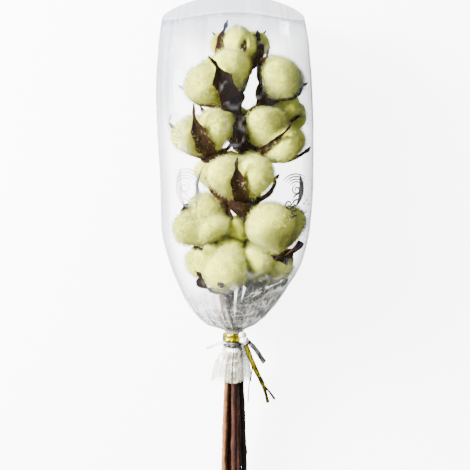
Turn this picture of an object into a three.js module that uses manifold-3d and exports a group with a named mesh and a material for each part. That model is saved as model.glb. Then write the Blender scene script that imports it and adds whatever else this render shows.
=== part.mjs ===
// A bunch of cotton stems: fourteen open bolls on five woody stems, in a sleeve of
// clear film that is gathered and tied with gold foil. The bunch lies on its back.
// Millimetres. +Y runs from the cut ends to the bolls and +Z is up. The pieces are
// worked out with the tie above the origin and the table at z = 0, and the whole
// bunch is then moved so that the origin is under the middle of its box.
import * as THREE from "three";
import { mergeVertices } from "three/addons/utils/BufferGeometryUtils.js";
import Module from "manifold-3d";

const GAP = 0.35; // clear space between neighbouring pieces
const WELD = 1e-4; // vertices nearer than this are one

// Stems
const STALK_CUT = 2.55; // radius of a stalk at its cut end
const STALK_TOP = 2.1; // and at its last boll
const TWIG = 1.9; // radius of a side twig
const KNUCKLE = 0.22; // how much a stalk swells at a leaf scar, as a share
const KNUCKLE_EVERY = 66; // distance between leaf scars
const STALK_SIDES = 6;
const STALK_STEP = 22; // length of a facet along a stalk
const STALK_BOW = 1.3; // how far the stalks spread from each other below the tie
const TWIG_SIDES = 6;
const TWIG_STEP = 14;
const NECK_Z = 36; // height of the tied bundle's middle above the table
const NECK_RING = 4.45; // the five stalks stand on a ring of this radius there

// Bolls, for a boll of size 1
const HEART = 24; // from the bottom of the burr to the middle of the locks
const LOCK_OUT = 18.3; // from the boll's axis to the middle of a lock
const LOCK_RADIAL = 18.6; // half sizes of a lock: away from the axis,
const LOCK_SIDE = 16; // round the axis
const LOCK_UP = 19.5; // and along it
const THIRD_OUT = 15; // the same for a boll with three locks
const THIRD_SIDE = 19.5;
const CORE_WIDE = 18; // half sizes of the cotton where the locks meet
const CORE_UP = 15.5;
const LOCK_FOOT = 0.55; // how much narrower the locks are where they sit in the burr
const LINT_RINGS = 8;
const CELL = 31; // reach of a boll's cotton against its neighbours' cotton
const VALVE_THICK = 1.1;

// The cup, which is a cone up to its rim and a flat dome inside the rim
const CUP_SIDES = 8;
const CUP_RIM = { out: 10.6, up: 4.2 };
const CUP_TOP = 6;
const CUP_FLOOR = 1.6; // depth of the cup below the boll's base point
const CUP_SEAT = 4.2; // radius of its underside
const SEAT_GROWS = 0.65; // and how much wider that is for each millimetre of depth

// Centre line of a valve, with its half width and how far its edges turn outwards
const VALVE = [
  { out: 6, up: 2.4, half: 5.4, flare: 0.3 },
  { out: 14.6, up: 8.6, half: 8, flare: 1 },
  { out: 22.4, up: 18, half: 7.2, flare: 1.7 },
  { out: 26.8, up: 28, half: 5.2, flare: 1.8 },
  { out: 29.4, up: 36.5, half: 2.2, flare: 0.6 },
  { out: 34.6, up: 44, half: 0.55, flare: 0 },
];
const VALVE_TIP = VALVE.at(-1).up;
const VALVE_EDGE = 19; // degrees from a valve's middle to just past its edge
const VALVE_LEAN = 12; // the most that the lint's columns follow a valve to one side
const VALVE_ROOM = 2.8; // room left between a valve's middle line and the film
const VALVE_LIFT = 0.9; // a valve's inner face stands this far off its own lint

// The bolls, front ones first. heart is the middle of the locks, axis points from the
// stem to the tip, and turn is the angle of the first lock from the side that faces up.
// open is less than 1 where the valves are held closer by the bolls around, first is
// the first lock's size against the others', floor is the depth of the cup, short lists
// the valves with broken tips and gone those that are broken off whole. valves holds
// what makes single valves differ: turn and swing are degrees that the whole valve and
// its tip stand to one side, long and wide are shares of the usual size, and close is
// the share of the usual distance from the axis at the tip.
const BOLLS = [
  {
    name: "f",
    heart: [7.2, 137, 69],
    axis: [-0.05, 0.95, 0.3],
    locks: 4,
    turn: 38,
    size: 1,
    floor: 6,
    valves: {
      0: { long: 0.62, close: 0.85 },
      2: { long: 0.55, close: 0.9 },
      3: { long: 1.08, close: 0.85, swing: -4 },
    },
  },
  {
    name: "b",
    heart: [-13, 217.5, 64],
    axis: [-0.5, 0.84, 0.2],
    locks: 3,
    turn: 60,
    size: 1,
    floor: 3,
    valves: {
      0: { turn: -22 },
      1: { turn: 10, long: 0.78, close: 0.92 },
      2: { swing: 6, long: 1.05, wide: 1.1 },
    },
  },
  {
    name: "c",
    heart: [39.5, 219.5, 60],
    axis: [0.62, 0.72, 0.3],
    locks: 3,
    turn: 6,
    size: 0.81,
    first: 1.42,
    floor: 6,
    valves: {
      0: { turn: 8, long: 0.95, close: 0.7 },
      1: { long: 0.8 },
      2: { turn: -6, long: 0.9, close: 0.9, wide: 1.3 },
    },
  },
  {
    name: "d",
    heart: [-24, 172.5, 66],
    axis: [-0.36, 0.9, 0.2],
    locks: 4,
    turn: 34,
    size: 0.93,
    valves: {
      0: { long: 0.6, close: 0.8 },
      2: { close: 0.75 },
      3: { turn: -4, swing: 12, long: 1.3, close: 0.9 },
    },
  },
  {
    name: "h",
    heart: [-10, 63, 56],
    axis: [-0.1, 0.8, 0.6],
    locks: 3,
    turn: 14,
    size: 1.03,
    first: 1.1,
    gone: [0],
    valves: { 2: { turn: 2, long: 0.85, close: 0.8, wide: 0.8 } },
  },
  {
    name: "j",
    heart: [34, 92, 58],
    axis: [-0.27, 0.95, -0.1],
    locks: 3,
    turn: -8,
    size: 1.03,
    first: 1.22,
    short: [0, 1],
    gone: [2],
    valves: { 0: { turn: -12, long: 0.4 } },
  },
  {
    name: "g",
    heart: [-25.5, 97, 54],
    axis: [-0.2, 0.25, 0.95],
    locks: 3,
    turn: 12,
    size: 0.88,
    first: 1.1,
    valves: { 1: { close: 0.6 }, 2: { close: 0.8 } },
  },
  {
    name: "e",
    heart: [33.5, 171, 60],
    axis: [0.7, 0.64, 0.34],
    locks: 4,
    turn: 45,
    size: 0.93,
    valves: { 3: { turn: 12, long: 1.2, close: 0.8, wide: 0.4 } },
  },
  {
    name: "a",
    heart: [4.5, 247, 37],
    axis: [0, 1, 0.05],
    locks: 4,
    turn: 0,
    size: 0.89,
    first: 1.2,
    valves: { 0: { turn: 18, close: 0.5 }, 3: { turn: -16, long: 1.22, close: 0.3 } },
  },
  {
    name: "i",
    heart: [22.5, 65, 49],
    axis: [0.26, 0.92, 0.15],
    locks: 4,
    turn: -14,
    size: 0.96,
    gone: [0, 3],
  },
  {
    name: "k",
    heart: [42, 193, 28],
    axis: [0.4, 0.85, -0.2],
    locks: 4,
    turn: 0,
    size: 0.86,
    open: 0.88,
    gone: [0],
  },
  {
    name: "m",
    heart: [1.5, 89, 47],
    axis: [-0.05, 0.98, 0.1],
    locks: 4,
    turn: 0,
    size: 0.74,
    open: 0.8,
    gone: [0, 3],
  },
  {
    name: "n",
    heart: [-6, 138, 26],
    axis: [0.05, 0.99, -0.05],
    locks: 4,
    turn: 10,
    size: 0.86,
    open: 0.9,
    gone: [0, 3],
  },
  {
    name: "p",
    heart: [10, 182, 27],
    axis: [0.05, 0.97, -0.2],
    locks: 4,
    turn: 45,
    size: 0.88,
    open: 0.9,
    gone: [3],
  },
].map((boll) => ({
  open: 1,
  first: 1,
  floor: CUP_FLOOR,
  short: [],
  gone: [],
  valves: {},
  ...boll,
}));

// The stems: where each stands on the neck's ring and where its cut end lies, the way
// that its stalk takes through the head, the boll at its top, and its side twigs, each
// of which leaves the stalk at the distance from.
const STEMS = [
  {
    ring: 234,
    cut: [-3.4, -200, 3.1],
    way: [[-2, 38, 27], [1, 80, 18], [5, 112, 27], [6, 142, 46], [4.7, 164, 55], [5.6, 184, 57]],
    top: "b",
    twigs: [
      { from: 180, way: [[12, 188, 51]], boll: "c" },
      { from: 174, way: [[2.4, 196, 44]], boll: "a" },
    ],
  },
  {
    ring: 162,
    cut: [-9.6, -193, 3.1],
    way: [[-9.5, 28, 30], [-14, 56, 20], [-13, 86, 25], [-13, 116, 45]],
    top: "d",
    twigs: [
      { from: 64, way: [[-20, 84, 15]], boll: "g" },
      { from: 70, way: [[-9, 94, 24]], boll: "n" },
    ],
  },
  {
    ring: 18,
    cut: [10, -197, 3.1],
    way: [[9, 28, 29], [18, 60, 14], [22, 95, 20], [19, 122, 26], [15, 142, 29]],
    top: "e",
    twigs: [
      { from: 26, way: [[28, 38, 24], [43, 47, 40]], boll: "j" },
      { from: 118, way: [[31, 146, 26]], boll: "k" },
    ],
  },
  {
    ring: 306,
    cut: [3.6, -188, 3.1],
    way: [[4.2, 30, 28.4], [9, 60, 24], [17, 79, 34], [15, 92, 48]],
    top: "f",
    twigs: [
      { from: 46, way: [[4.5, 57, 32]], boll: "m" },
      { from: 74, way: [[15, 88, 33], [13, 108, 34], [9, 130, 32]], boll: "p" },
    ],
  },
  {
    ring: 90,
    cut: [0.2, -199, 8.6],
    way: [[-1, 12, 40.4], [-4.4, 25, 36.8]],
    top: "h",
    twigs: [{ from: 10, way: [[6, 18, 45]], boll: "i" }],
  },
];

// The film sleeve, from the edge of its skirt to its mouth. left and right are half
// widths, top and bottom heights above the table, and square is 2 for a round section.
const FILM = 0.6; // wall of the sleeve
const SLEEVE_AROUND = 24;
const NECK_FILM = 8.1; // radius of the film under the tie
const MOUTH_BOW = 12; // how far the mouth's middle stands past its corners
const FLAT = -1.6; // the head's underside is pressed flat on the table from here
const TIED = {
  left: NECK_FILM,
  right: NECK_FILM,
  top: NECK_Z + NECK_FILM,
  bottom: NECK_Z - NECK_FILM,
  square: 2,
};
const SLEEVE = [
  { y: -37, left: 20, right: 15.5, top: 43, bottom: 18, square: 2.2 },
  { y: -23, left: 16.5, right: 13.5, top: 44, bottom: 22, square: 2.1 },
  { y: -12, left: 11, right: 10.4, top: 44.6, bottom: 25.6, square: 2 },
  { y: -6, ...TIED },
  { y: 5, ...TIED },
  { y: 11, left: 23, right: 17, top: 54, bottom: 20, square: 2.2 },
  { y: 24, left: 36, right: 31, top: 71, bottom: 9, square: 2.4 },
  { y: 45, left: 46.5, right: 46, top: 89, bottom: 1, square: 2.5 },
  { y: 66, left: 54.5, right: 57.5, top: 99, bottom: FLAT, square: 2.6 },
  { y: 93, left: 60.5, right: 63.5, top: 104, bottom: FLAT, square: 2.6 },
  { y: 132, left: 61.5, right: 66.3, top: 105, bottom: FLAT, square: 2.6 },
  { y: 175, left: 64, right: 66.3, top: 104, bottom: FLAT, square: 2.6 },
  { y: 215, left: 65.5, right: 65.5, top: 101, bottom: FLAT, square: 2.6 },
  { y: 250, left: 64, right: 63.5, top: 88, bottom: FLAT, square: 2.5 },
  { y: 286, left: 61, right: 60, top: 70, bottom: FLAT, square: 2.4 },
];

// The foil tie
const BAND_WIDTH = 8.6;
const BAND_THICK = 0.9;
const KNOT_HALF = [3.4, 3.8, 2.4];
const KNOT_AT = [8.6, -2, 45.3];
const FOIL = 0.7; // thickness of a tail
const GOLD_TAIL = 3.2; // widths of the tails
const GOLD_END = 2;
const DARK_TAIL = 3.4;
const GOLD_FORK = [24.6, -40, 42];

const COLOURS = {
  lint: 0xe9e9c6,
  burr: 0x3c2219,
  stem: 0x4a2c1e,
  film: 0xdfe6ec,
  gold: 0xc9a81f,
  dark: 0x23302a,
  knot: 0xe6e2d8,
};

const wasm = await Module();
wasm.setup();

const vector = (numbers) => new THREE.Vector3(...numbers);

// A closed three.js geometry as a solid, turned right side out if it was inside out.
function toSolid(geometry) {
  const bare = geometry.clone();
  bare.deleteAttribute("normal");
  bare.deleteAttribute("uv");
  const merged = mergeVertices(bare, WELD);
  const triangles = [];
  for (let i = 0; i < merged.index.count; i += 3) {
    const [a, b, c] = [0, 1, 2].map((k) => merged.index.getX(i + k));
    if (a !== b && b !== c && c !== a) triangles.push(a, b, c);
  }
  const build = (list) =>
    new wasm.Manifold(
      new wasm.Mesh({
        numProp: 3,
        vertProperties: merged.attributes.position.array,
        triVerts: new Uint32Array(list),
      }),
    );
  const solid = build(triangles);
  return solid.volume() < 0 ? build(triangles.reverse()) : solid;
}

// The biggest body of a solid, without the scraps that a cut leaves.
function biggest(solid) {
  const bodies = solid.decompose();
  return bodies.reduce((best, body) => (body.volume() > best.volume() ? body : best));
}

function join(solids) {
  return solids.reduce((whole, solid) => whole.add(solid));
}

function near(one, other) {
  const a = one.boundingBox();
  const b = other.boundingBox();
  return [0, 1, 2].every((k) => a.min[k] <= b.max[k] && b.min[k] <= a.max[k]);
}

function cutBy(solid, others) {
  return others.reduce((left, other) => (near(left, other) ? left.subtract(other) : left), solid);
}

function geometryOf(points, triangles) {
  const geometry = new THREE.BufferGeometry();
  geometry.setAttribute(
    "position",
    new THREE.Float32BufferAttribute(points.flatMap((p) => [p.x, p.y, p.z]), 3),
  );
  geometry.setIndex(triangles);
  return geometry;
}

// A solid skin over a row of rings, with a fan of triangles to a point at each end:
// the ends given, or else the middle of the end ring.
function ringSolid(rings, ends = []) {
  const around = rings[0].length;
  const points = rings.flat();
  const triangles = [];
  for (let i = 0; i + 1 < rings.length; i += 1) {
    for (let k = 0; k < around; k += 1) {
      const here = i * around + k;
      const next = i * around + ((k + 1) % around);
      triangles.push(here, next, next + around, here, next + around, here + around);
    }
  }
  for (const [ring, last] of [[0, false], [rings.length - 1, true]]) {
    const middle = new THREE.Vector3();
    rings[ring].forEach((p) => middle.addScaledVector(p, 1 / around));
    const hub = points.push(ends[last ? 1 : 0] ?? middle) - 1;
    for (let k = 0; k < around; k += 1) {
      const here = ring * around + k;
      const next = ring * around + ((k + 1) % around);
      triangles.push(hub, ...(last ? [here, next] : [next, here]));
    }
  }
  return toSolid(geometryOf(points, triangles));
}

// A thin wall between two grids of points that are split into triangles alike. A
// wrapped wall closes on itself round each row, as a tube does.
function wallSolid(front, back, wrapped) {
  const rows = front.length;
  const columns = front[0].length;
  const points = [...front.flat(), ...back.flat()];
  const behind = rows * columns;
  const at = (i, k) => i * columns + (k % columns);
  const triangles = [];
  const quad = (a, b, c, d) => triangles.push(a, b, c, a, c, d);
  for (let i = 0; i + 1 < rows; i += 1) {
    for (let k = 0; k < (wrapped ? columns : columns - 1); k += 1) {
      quad(at(i, k), at(i, k + 1), at(i + 1, k + 1), at(i + 1, k));
      const [a, b, c, d] = [at(i, k), at(i, k + 1), at(i + 1, k + 1), at(i + 1, k)];
      triangles.push(a + behind, c + behind, b + behind, a + behind, d + behind, c + behind);
    }
    if (!wrapped) {
      const far = columns - 1;
      quad(at(i, 0), at(i + 1, 0), at(i + 1, 0) + behind, at(i, 0) + behind);
      quad(at(i + 1, far), at(i, far), at(i, far) + behind, at(i + 1, far) + behind);
    }
  }
  for (let k = 0; k < (wrapped ? columns : columns - 1); k += 1) {
    quad(at(0, k + 1), at(0, k), at(0, k) + behind, at(0, k + 1) + behind);
    const end = rows - 1;
    quad(at(end, k), at(end, k + 1), at(end, k + 1) + behind, at(end, k) + behind);
  }
  return toSolid(geometryOf(points, triangles));
}

// A point on the sleeve's section at angle t, moved in by inset from its outer face.
function sleevePoint(row, t, inset) {
  const side = Math.cos(t) < 0 ? -1 : 1;
  const rise = Math.sin(t) < 0 ? -1 : 1;
  const half = side < 0 ? row.left : row.right;
  const tall = (row.top - row.bottom) / 2;
  const c = Math.abs(Math.cos(t)) ** (2 / row.square);
  const s = Math.abs(Math.sin(t)) ** (2 / row.square);
  const slope = new THREE.Vector2(
    (side * c ** (row.square - 1)) / half,
    (rise * s ** (row.square - 1)) / tall,
  ).normalize();
  const x = side * half * c - inset * slope.x;
  const z = (row.top + row.bottom) / 2 + rise * tall * s - inset * slope.y;
  const bow = row === SLEEVE.at(-1) ? MOUTH_BOW * (x / half) ** 2 : 0;
  return new THREE.Vector3(x, row.y - bow, Math.max(z, inset));
}

function sleeveRings(inset) {
  return SLEEVE.map((row) =>
    Array.from({ length: SLEEVE_AROUND }, (_, k) =>
      sleevePoint(row, (2 * Math.PI * (k + 0.5)) / SLEEVE_AROUND, inset),
    ),
  );
}

function sleeveWall() {
  return wallSolid(sleeveRings(0), sleeveRings(FILM), true);
}

// The space inside the sleeve that the bolls may fill.
function sleeveRoom() {
  return ringSolid(sleeveRings(FILM + GAP));
}

// Whether a point is inside the sleeve with this much room to spare.
function roomAt(point, spare) {
  const next = SLEEVE.findIndex((row) => row.y > point.y);
  if (next < 1) return false;
  const [a, b] = [SLEEVE[next - 1], SLEEVE[next]];
  const share = (point.y - a.y) / (b.y - a.y);
  const mix = (key) => a[key] + (b[key] - a[key]) * share;
  const half = (point.x < 0 ? mix("left") : mix("right")) - spare;
  const tall = (mix("top") - mix("bottom")) / 2 - spare;
  const up = point.z - (mix("top") + mix("bottom")) / 2;
  const n = mix("square");
  return Math.abs(point.x / half) ** n + Math.abs(up / tall) ** n < 1 && point.z > spare;
}

// The frame of a boll: its base point, its axis, the direction across the axis that
// faces up, and the one that completes the frame.
function frameOf(boll) {
  const axis = vector(boll.axis).normalize();
  const base = vector(boll.heart).addScaledVector(axis, -HEART * boll.size);
  const face = new THREE.Vector3(0, 0, 1).addScaledVector(axis, -axis.z).normalize();
  const side = new THREE.Vector3().crossVectors(axis, face);
  return { axis, base, face, side };
}

// The direction away from the axis at an angle in degrees from the side that faces up.
function away(frame, angle) {
  const t = THREE.MathUtils.degToRad(angle);
  return frame.face.clone().multiplyScalar(Math.cos(t)).addScaledVector(frame.side, Math.sin(t));
}

// The distance from a boll's heart to the surface of its loose cotton: the furthest
// of the core and the locks, which are ellipsoids that all hold the heart.
function looseReach(boll, angle, polar) {
  const three = boll.locks === 3;
  const out = Math.sin(polar);
  const up = -Math.cos(polar);
  let reach = 1 / Math.hypot(out / CORE_WIDE, up / CORE_UP);
  for (let k = 0; k < boll.locks; k += 1) {
    const turn = THREE.MathUtils.degToRad(angle - boll.turn - (360 * k) / boll.locks);
    const x = (out * Math.cos(turn)) / LOCK_RADIAL;
    const y = (out * Math.sin(turn)) / (three ? THIRD_SIDE : LOCK_SIDE);
    const z = up / LOCK_UP;
    const shift = (three ? THIRD_OUT : LOCK_OUT) / LOCK_RADIAL;
    const a = x * x + y * y + z * z;
    const b = x * shift;
    const far = (b + Math.sqrt(b * b - a * (shift * shift - 1))) / a;
    reach = Math.max(reach, k === 0 ? far * Math.sqrt(boll.first) : far / Math.sqrt(boll.first));
  }
  return reach * boll.size;
}

// How far the cotton may go from its heart in a direction before it meets the flat
// face where it is pressed against a neighbour's cotton.
function pressedReach(boll, direction) {
  const heart = vector(boll.heart);
  let reach = Infinity;
  for (const other of BOLLS) {
    if (other === boll) continue;
    const between = vector(other.heart).sub(heart);
    const apart = between.length();
    const mine = CELL * boll.size;
    const theirs = CELL * other.size;
    const face = (apart * apart + mine * mine - theirs * theirs) / (2 * apart) - GAP;
    const toward = direction.dot(between) / apart;
    if (toward > 0) reach = Math.min(reach, face / toward);
  }
  return reach;
}

// A point of a boll's lint: its loose place, drawn in at the foot, and then held back
// by the neighbours, the film and the inner faces of its own burr.
function lintPoint(boll, frame, angle, polar, burr, grow) {
  const heart = vector(boll.heart);
  const period = 360 / boll.locks;
  const fromValve = Math.abs(((angle - boll.turn) % period) - period / 2);
  const reach = looseReach(boll, angle, polar) * (fromValve < VALVE_EDGE + 1 ? 0.95 : 1);
  const up = -Math.cos(polar) * reach;
  const lock = LOCK_UP * boll.size;
  const draw = LOCK_FOOT + (1 - LOCK_FOOT) * THREE.MathUtils.smoothstep(up, -lock, 0.15 * lock);
  const step = away(frame, angle)
    .multiplyScalar(Math.sin(polar) * reach * draw)
    .addScaledVector(frame.axis, up);
  const direction = step.clone().normalize();
  let far = Math.min(step.length(), pressedReach(boll, direction));
  const ray = new THREE.Raycaster(heart, direction, 0, far + 1);
  const [hit] = ray.intersectObject(burr);
  if (hit) far = Math.min(far, hit.distance - VALVE_LIFT);
  const place = (length) => heart.clone().addScaledVector(direction, length);
  while (far > 1 && !roomAt(place(far), FILM + 1)) far -= 0.5;
  return place(far + grow);
}

// The lint's columns: one behind the middle of each valve, one just past each of its
// edges, and the rest over the lock between two valves.
function lintColumns(boll) {
  const period = 360 / boll.locks;
  const over = boll.locks === 3 ? [36, 60, 84] : [34, 56];
  const lean = (k) =>
    THREE.MathUtils.clamp(valveOf(boll, k % boll.locks).turn, -VALVE_LEAN, VALVE_LEAN);
  return Array.from({ length: boll.locks }, (_, k) => {
    const steps = [lean(k), VALVE_EDGE + lean(k), ...over, period - VALVE_EDGE + lean(k + 1)];
    return steps.map((step) => boll.turn + (k + 0.5) * period + step);
  }).flat();
}

function lintSolid(boll, burr, grow) {
  const frame = frameOf(boll);
  const columns = lintColumns(boll);
  const rings = [];
  for (let ring = 1; ring < LINT_RINGS; ring += 1) {
    const polar = (Math.PI * ring) / LINT_RINGS;
    rings.push(columns.map((angle) => lintPoint(boll, frame, angle, polar, burr, grow)));
  }
  const ends = [0, Math.PI].map((polar) => lintPoint(boll, frame, 0, polar, burr, grow));
  return ringSolid(rings, ends);
}

// The rows of a valve whose tip has broken off: a narrower blade down to a blunt point.
const BROKEN = [
  ...VALVE.slice(0, 3).map((row) => ({ ...row, half: row.half * 0.7 })),
  { out: 24.6, up: 23, half: 1.2, flare: 0.4 },
];

// What makes one of a boll's valves differ from the usual valve.
function valveOf(boll, order) {
  return { turn: 0, swing: 0, long: 1, close: 1, wide: 1, ...boll.valves[order] };
}

// A valve: a thin arched blade with a pointed tip that faces away from the heart, bent
// in where the film is near.
function valveSolid(boll, frame, angle, grow, order) {
  const own = valveOf(boll, order);
  const heart = vector(boll.heart);
  const long = own.long * (1 + 0.07 * Math.sin(2.4 * order + 5 * boll.size));
  const rows = boll.short.includes(order) ? BROKEN : VALVE;
  const spine = rows.map((row) => {
    const share = (row.up / VALVE_TIP) ** 2;
    const out = away(frame, angle + own.turn + own.swing * share);
    const far = row.out * boll.size * boll.open * (1 + (own.close - 1) * share);
    const place = (reach) =>
      frame.base
        .clone()
        .addScaledVector(out, far * reach)
        .addScaledVector(frame.axis, row.up * boll.size * long);
    let reach = 1;
    while (reach > 0.3 && !roomAt(place(reach), VALVE_ROOM)) reach -= 0.02;
    return place(reach);
  });
  const front = [];
  const back = [];
  rows.forEach((row, i) => {
    const from = spine[Math.max(i - 1, 0)];
    const to = spine[Math.min(i + 1, spine.length - 1)];
    const along = to.clone().sub(from).normalize();
    const middle = spine[i].clone();
    const lift = middle.clone().sub(heart);
    lift.addScaledVector(along, -lift.dot(along)).normalize();
    const round = new THREE.Vector3().crossVectors(along, lift);
    if (i === 0) middle.addScaledVector(along, -grow);
    if (i === rows.length - 1) middle.addScaledVector(along, grow);
    const across = [-1, 0, 1].map((step) =>
      middle
        .clone()
        .addScaledVector(round, step * (row.half * boll.size * boll.open * own.wide + grow))
        .addScaledVector(lift, Math.abs(step) * row.flare * boll.size),
    );
    const thick = VALVE_THICK / 2 + grow;
    front.push(across.map((p) => p.clone().addScaledVector(lift, thick)));
    back.push(across.map((p) => p.clone().addScaledVector(lift, -thick)));
  });
  return wallSolid(front, back, false);
}

function cupSolid(boll, frame, grow) {
  const seat = CUP_SEAT + SEAT_GROWS * (boll.floor - CUP_FLOOR);
  const outline = [
    new THREE.Vector2(0, -boll.floor * boll.size - grow),
    new THREE.Vector2(seat * boll.size + grow, (0.4 - boll.floor) * boll.size - grow),
    new THREE.Vector2(CUP_RIM.out * boll.size + grow, CUP_RIM.up * boll.size),
    new THREE.Vector2(0, CUP_TOP * boll.size + grow),
  ];
  const cup = new THREE.LatheGeometry(outline, CUP_SIDES);
  const stand = new THREE.Matrix4().makeBasis(frame.side, frame.axis, frame.face);
  cup.applyMatrix4(stand.setPosition(frame.base));
  return toSolid(cup);
}

function burrSolid(boll, grow) {
  const frame = frameOf(boll);
  const orders = [...Array(boll.locks).keys()].filter((k) => !boll.gone.includes(k));
  const valves = orders.map((k) => {
    const angle = boll.turn + (360 * (k + 0.5)) / boll.locks;
    return valveSolid(boll, frame, angle, grow, k);
  });
  return join([cupSolid(boll, frame, grow), ...valves]);
}

const curveOf = (points) => new THREE.CatmullRomCurve3(points, false, "centripetal");

// A round stick along a smooth curve, with its radius given by the distance along it.
function stickSolid(curve, radius, sides, step) {
  const length = curve.getLength();
  const steps = Math.max(3, Math.round(length / step));
  const frames = curve.computeFrenetFrames(steps, false);
  const rings = [];
  for (let i = 0; i <= steps; i += 1) {
    const middle = curve.getPointAt(i / steps);
    const size = radius((i / steps) * length, length);
    rings.push(
      Array.from({ length: sides }, (_, k) => {
        const t = (2 * Math.PI * k) / sides;
        return middle
          .clone()
          .addScaledVector(frames.normals[i], size * Math.cos(t))
          .addScaledVector(frames.binormals[i], size * Math.sin(t));
      }),
    );
  }
  return ringSolid(rings);
}

// The last two points of a stick: straight into the bottom of a boll's cup.
function intoCup(name) {
  const boll = BOLLS.find((one) => one.name === name);
  const frame = frameOf(boll);
  return [boll.floor + 7.4, boll.floor + GAP / boll.size].map((back) =>
    frame.base.clone().addScaledVector(frame.axis, -back * boll.size),
  );
}

// Where a stalk stands in the tied bundle, at a distance y along it.
function bundlePoint(stem, y) {
  const t = THREE.MathUtils.degToRad(stem.ring);
  return new THREE.Vector3(NECK_RING * Math.cos(t), y, NECK_Z + NECK_RING * Math.sin(t));
}

// The point of a stalk's curve at the height y where a twig leaves it.
function pointAt(curve, y) {
  const points = curve.getSpacedPoints(300);
  return points.reduce((best, p) => (Math.abs(p.y - y) < Math.abs(best.y - y) ? p : best));
}

function stemSolid(stem, grow) {
  const cut = vector(stem.cut);
  const tied = bundlePoint(stem, -9);
  const bow = bundlePoint(stem, 0).sub(new THREE.Vector3(0, 0, NECK_Z)).setLength(STALK_BOW);
  const path = curveOf([
    cut,
    cut.clone().lerp(tied, 0.36).add(bow),
    cut.clone().lerp(tied, 0.74).add(bow),
    tied,
    bundlePoint(stem, 4),
    ...stem.way.map(vector),
    ...intoCup(stem.top),
  ]);
  const stalk = stickSolid(
    path,
    (along, length) => {
      const slim = THREE.MathUtils.lerp(STALK_CUT, STALK_TOP, along / length);
      const scar = Math.cos((2 * Math.PI * (along - 30 - stem.ring / 9)) / KNUCKLE_EVERY);
      const tight = Math.abs(along + cut.y) < 24 ? 0 : 1;
      return slim * (1 + tight * KNUCKLE * Math.max(0, scar) ** 12) + grow;
    },
    STALK_SIDES,
    STALK_STEP,
  );
  const twigs = stem.twigs.map((twig) =>
    stickSolid(
      curveOf([pointAt(path, twig.from), ...twig.way.map(vector), ...intoCup(twig.boll)]),
      (along, length) => TWIG * (1.12 - 0.12 * (along / length)) + grow,
      TWIG_SIDES,
      TWIG_STEP,
    ),
  );
  return join([stalk, ...twigs]);
}

// A foil tail: a flat strip along a curve, seen flat from above.
function tailSolid(points, width) {
  const curve = curveOf(points.map(vector));
  const steps = 5;
  const front = [];
  const back = [];
  for (let i = 0; i <= steps; i += 1) {
    const middle = curve.getPointAt(i / steps);
    const along = curve.getTangentAt(i / steps);
    const tilt = new THREE.Vector3(0.3 * Math.sin(4 * (i / steps)), 0, 1).normalize();
    const across = new THREE.Vector3().crossVectors(along, tilt).normalize();
    const lift = new THREE.Vector3().crossVectors(across, along).normalize();
    const row = [-0.5, 0.5].map((side) => middle.clone().addScaledVector(across, side * width));
    front.push(row.map((p) => p.clone().addScaledVector(lift, FOIL / 2)));
    back.push(row.map((p) => p.clone().addScaledVector(lift, -FOIL / 2)));
  }
  return wallSolid(front, back, false);
}

function bandSolid() {
  const inner = (NECK_FILM + GAP) / Math.cos(Math.PI / SLEEVE_AROUND);
  const outer = inner + BAND_THICK;
  const half = BAND_WIDTH / 2;
  const section = [
    new THREE.Vector2(inner, -half),
    new THREE.Vector2(outer - 0.2, -half),
    new THREE.Vector2(outer + 0.1, 0),
    new THREE.Vector2(outer - 0.2, half),
    new THREE.Vector2(inner, half),
    new THREE.Vector2(inner, -half),
  ];
  const band = new THREE.LatheGeometry(section, SLEEVE_AROUND);
  band.translate(0, -0.5, NECK_Z);
  return toSolid(band);
}

function knotSolid() {
  const knot = new THREE.SphereGeometry(1, 10, 7);
  knot.scale(...KNOT_HALF);
  knot.rotateZ(-0.5);
  knot.rotateY(0.6);
  knot.translate(...KNOT_AT);
  return toSolid(knot);
}

function goldTail() {
  const root = [10, -5.5, 45.6];
  const middle = [17.5, -25, 46];
  const trunk = tailSolid([root, middle, GOLD_FORK], GOLD_TAIL);
  const ends = [[[29.2, -56.5, 36]], [[30.5, -47, 40.5], [35, -53.5, 37]]];
  const fork = [(middle[0] + GOLD_FORK[0]) / 2, (middle[1] + GOLD_FORK[1]) / 2, 44.6];
  return join([trunk, ...ends.map((end) => tailSolid([fork, GOLD_FORK, ...end], GOLD_END))]);
}

function darkTail() {
  return tailSolid([[12.7, -3.2, 44.4], [18.5, -10, 46], [25.5, -20.5, 44]], DARK_TAIL);
}

const bunch = new THREE.Group();

function meshOf(solid) {
  const shape = solid.getMesh();
  const geometry = new THREE.BufferGeometry();
  geometry.setAttribute("position", new THREE.Float32BufferAttribute(shape.vertProperties, 3));
  geometry.setIndex([...shape.triVerts]);
  geometry.computeVertexNormals();
  return new THREE.Mesh(geometry);
}

function addPiece(name, solid, colour, roughness, metalness) {
  const piece = meshOf(solid);
  piece.material = new THREE.MeshStandardMaterial({ color: colour, roughness, metalness });
  piece.name = name;
  bunch.add(piece);
  return piece;
}

// The stems come first and then the bolls from the front, each burr before its lint.
// Each piece gives way to those before it, in a space that is a little larger than they.
const room = sleeveRoom();
STEMS.forEach((stem, i) => addPiece(`stem_${i + 1}`, stemSolid(stem, 0), COLOURS.stem, 0.85, 0));
const taken = STEMS.map((stem) => stemSolid(stem, GAP));
for (const boll of BOLLS) {
  const shell = burrSolid(boll, GAP);
  const burr = cutBy(burrSolid(boll, 0).intersect(room), taken);
  addPiece(`boll_${boll.name}_burr`, biggest(burr), COLOURS.burr, 0.7, 0);
  taken.push(shell);
  const inner = meshOf(shell);
  const lint = cutBy(lintSolid(boll, inner, 0).intersect(room), taken);
  addPiece(`boll_${boll.name}_lint`, biggest(lint), COLOURS.lint, 0.95, 0);
  taken.push(lintSolid(boll, inner, GAP));
}

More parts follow.
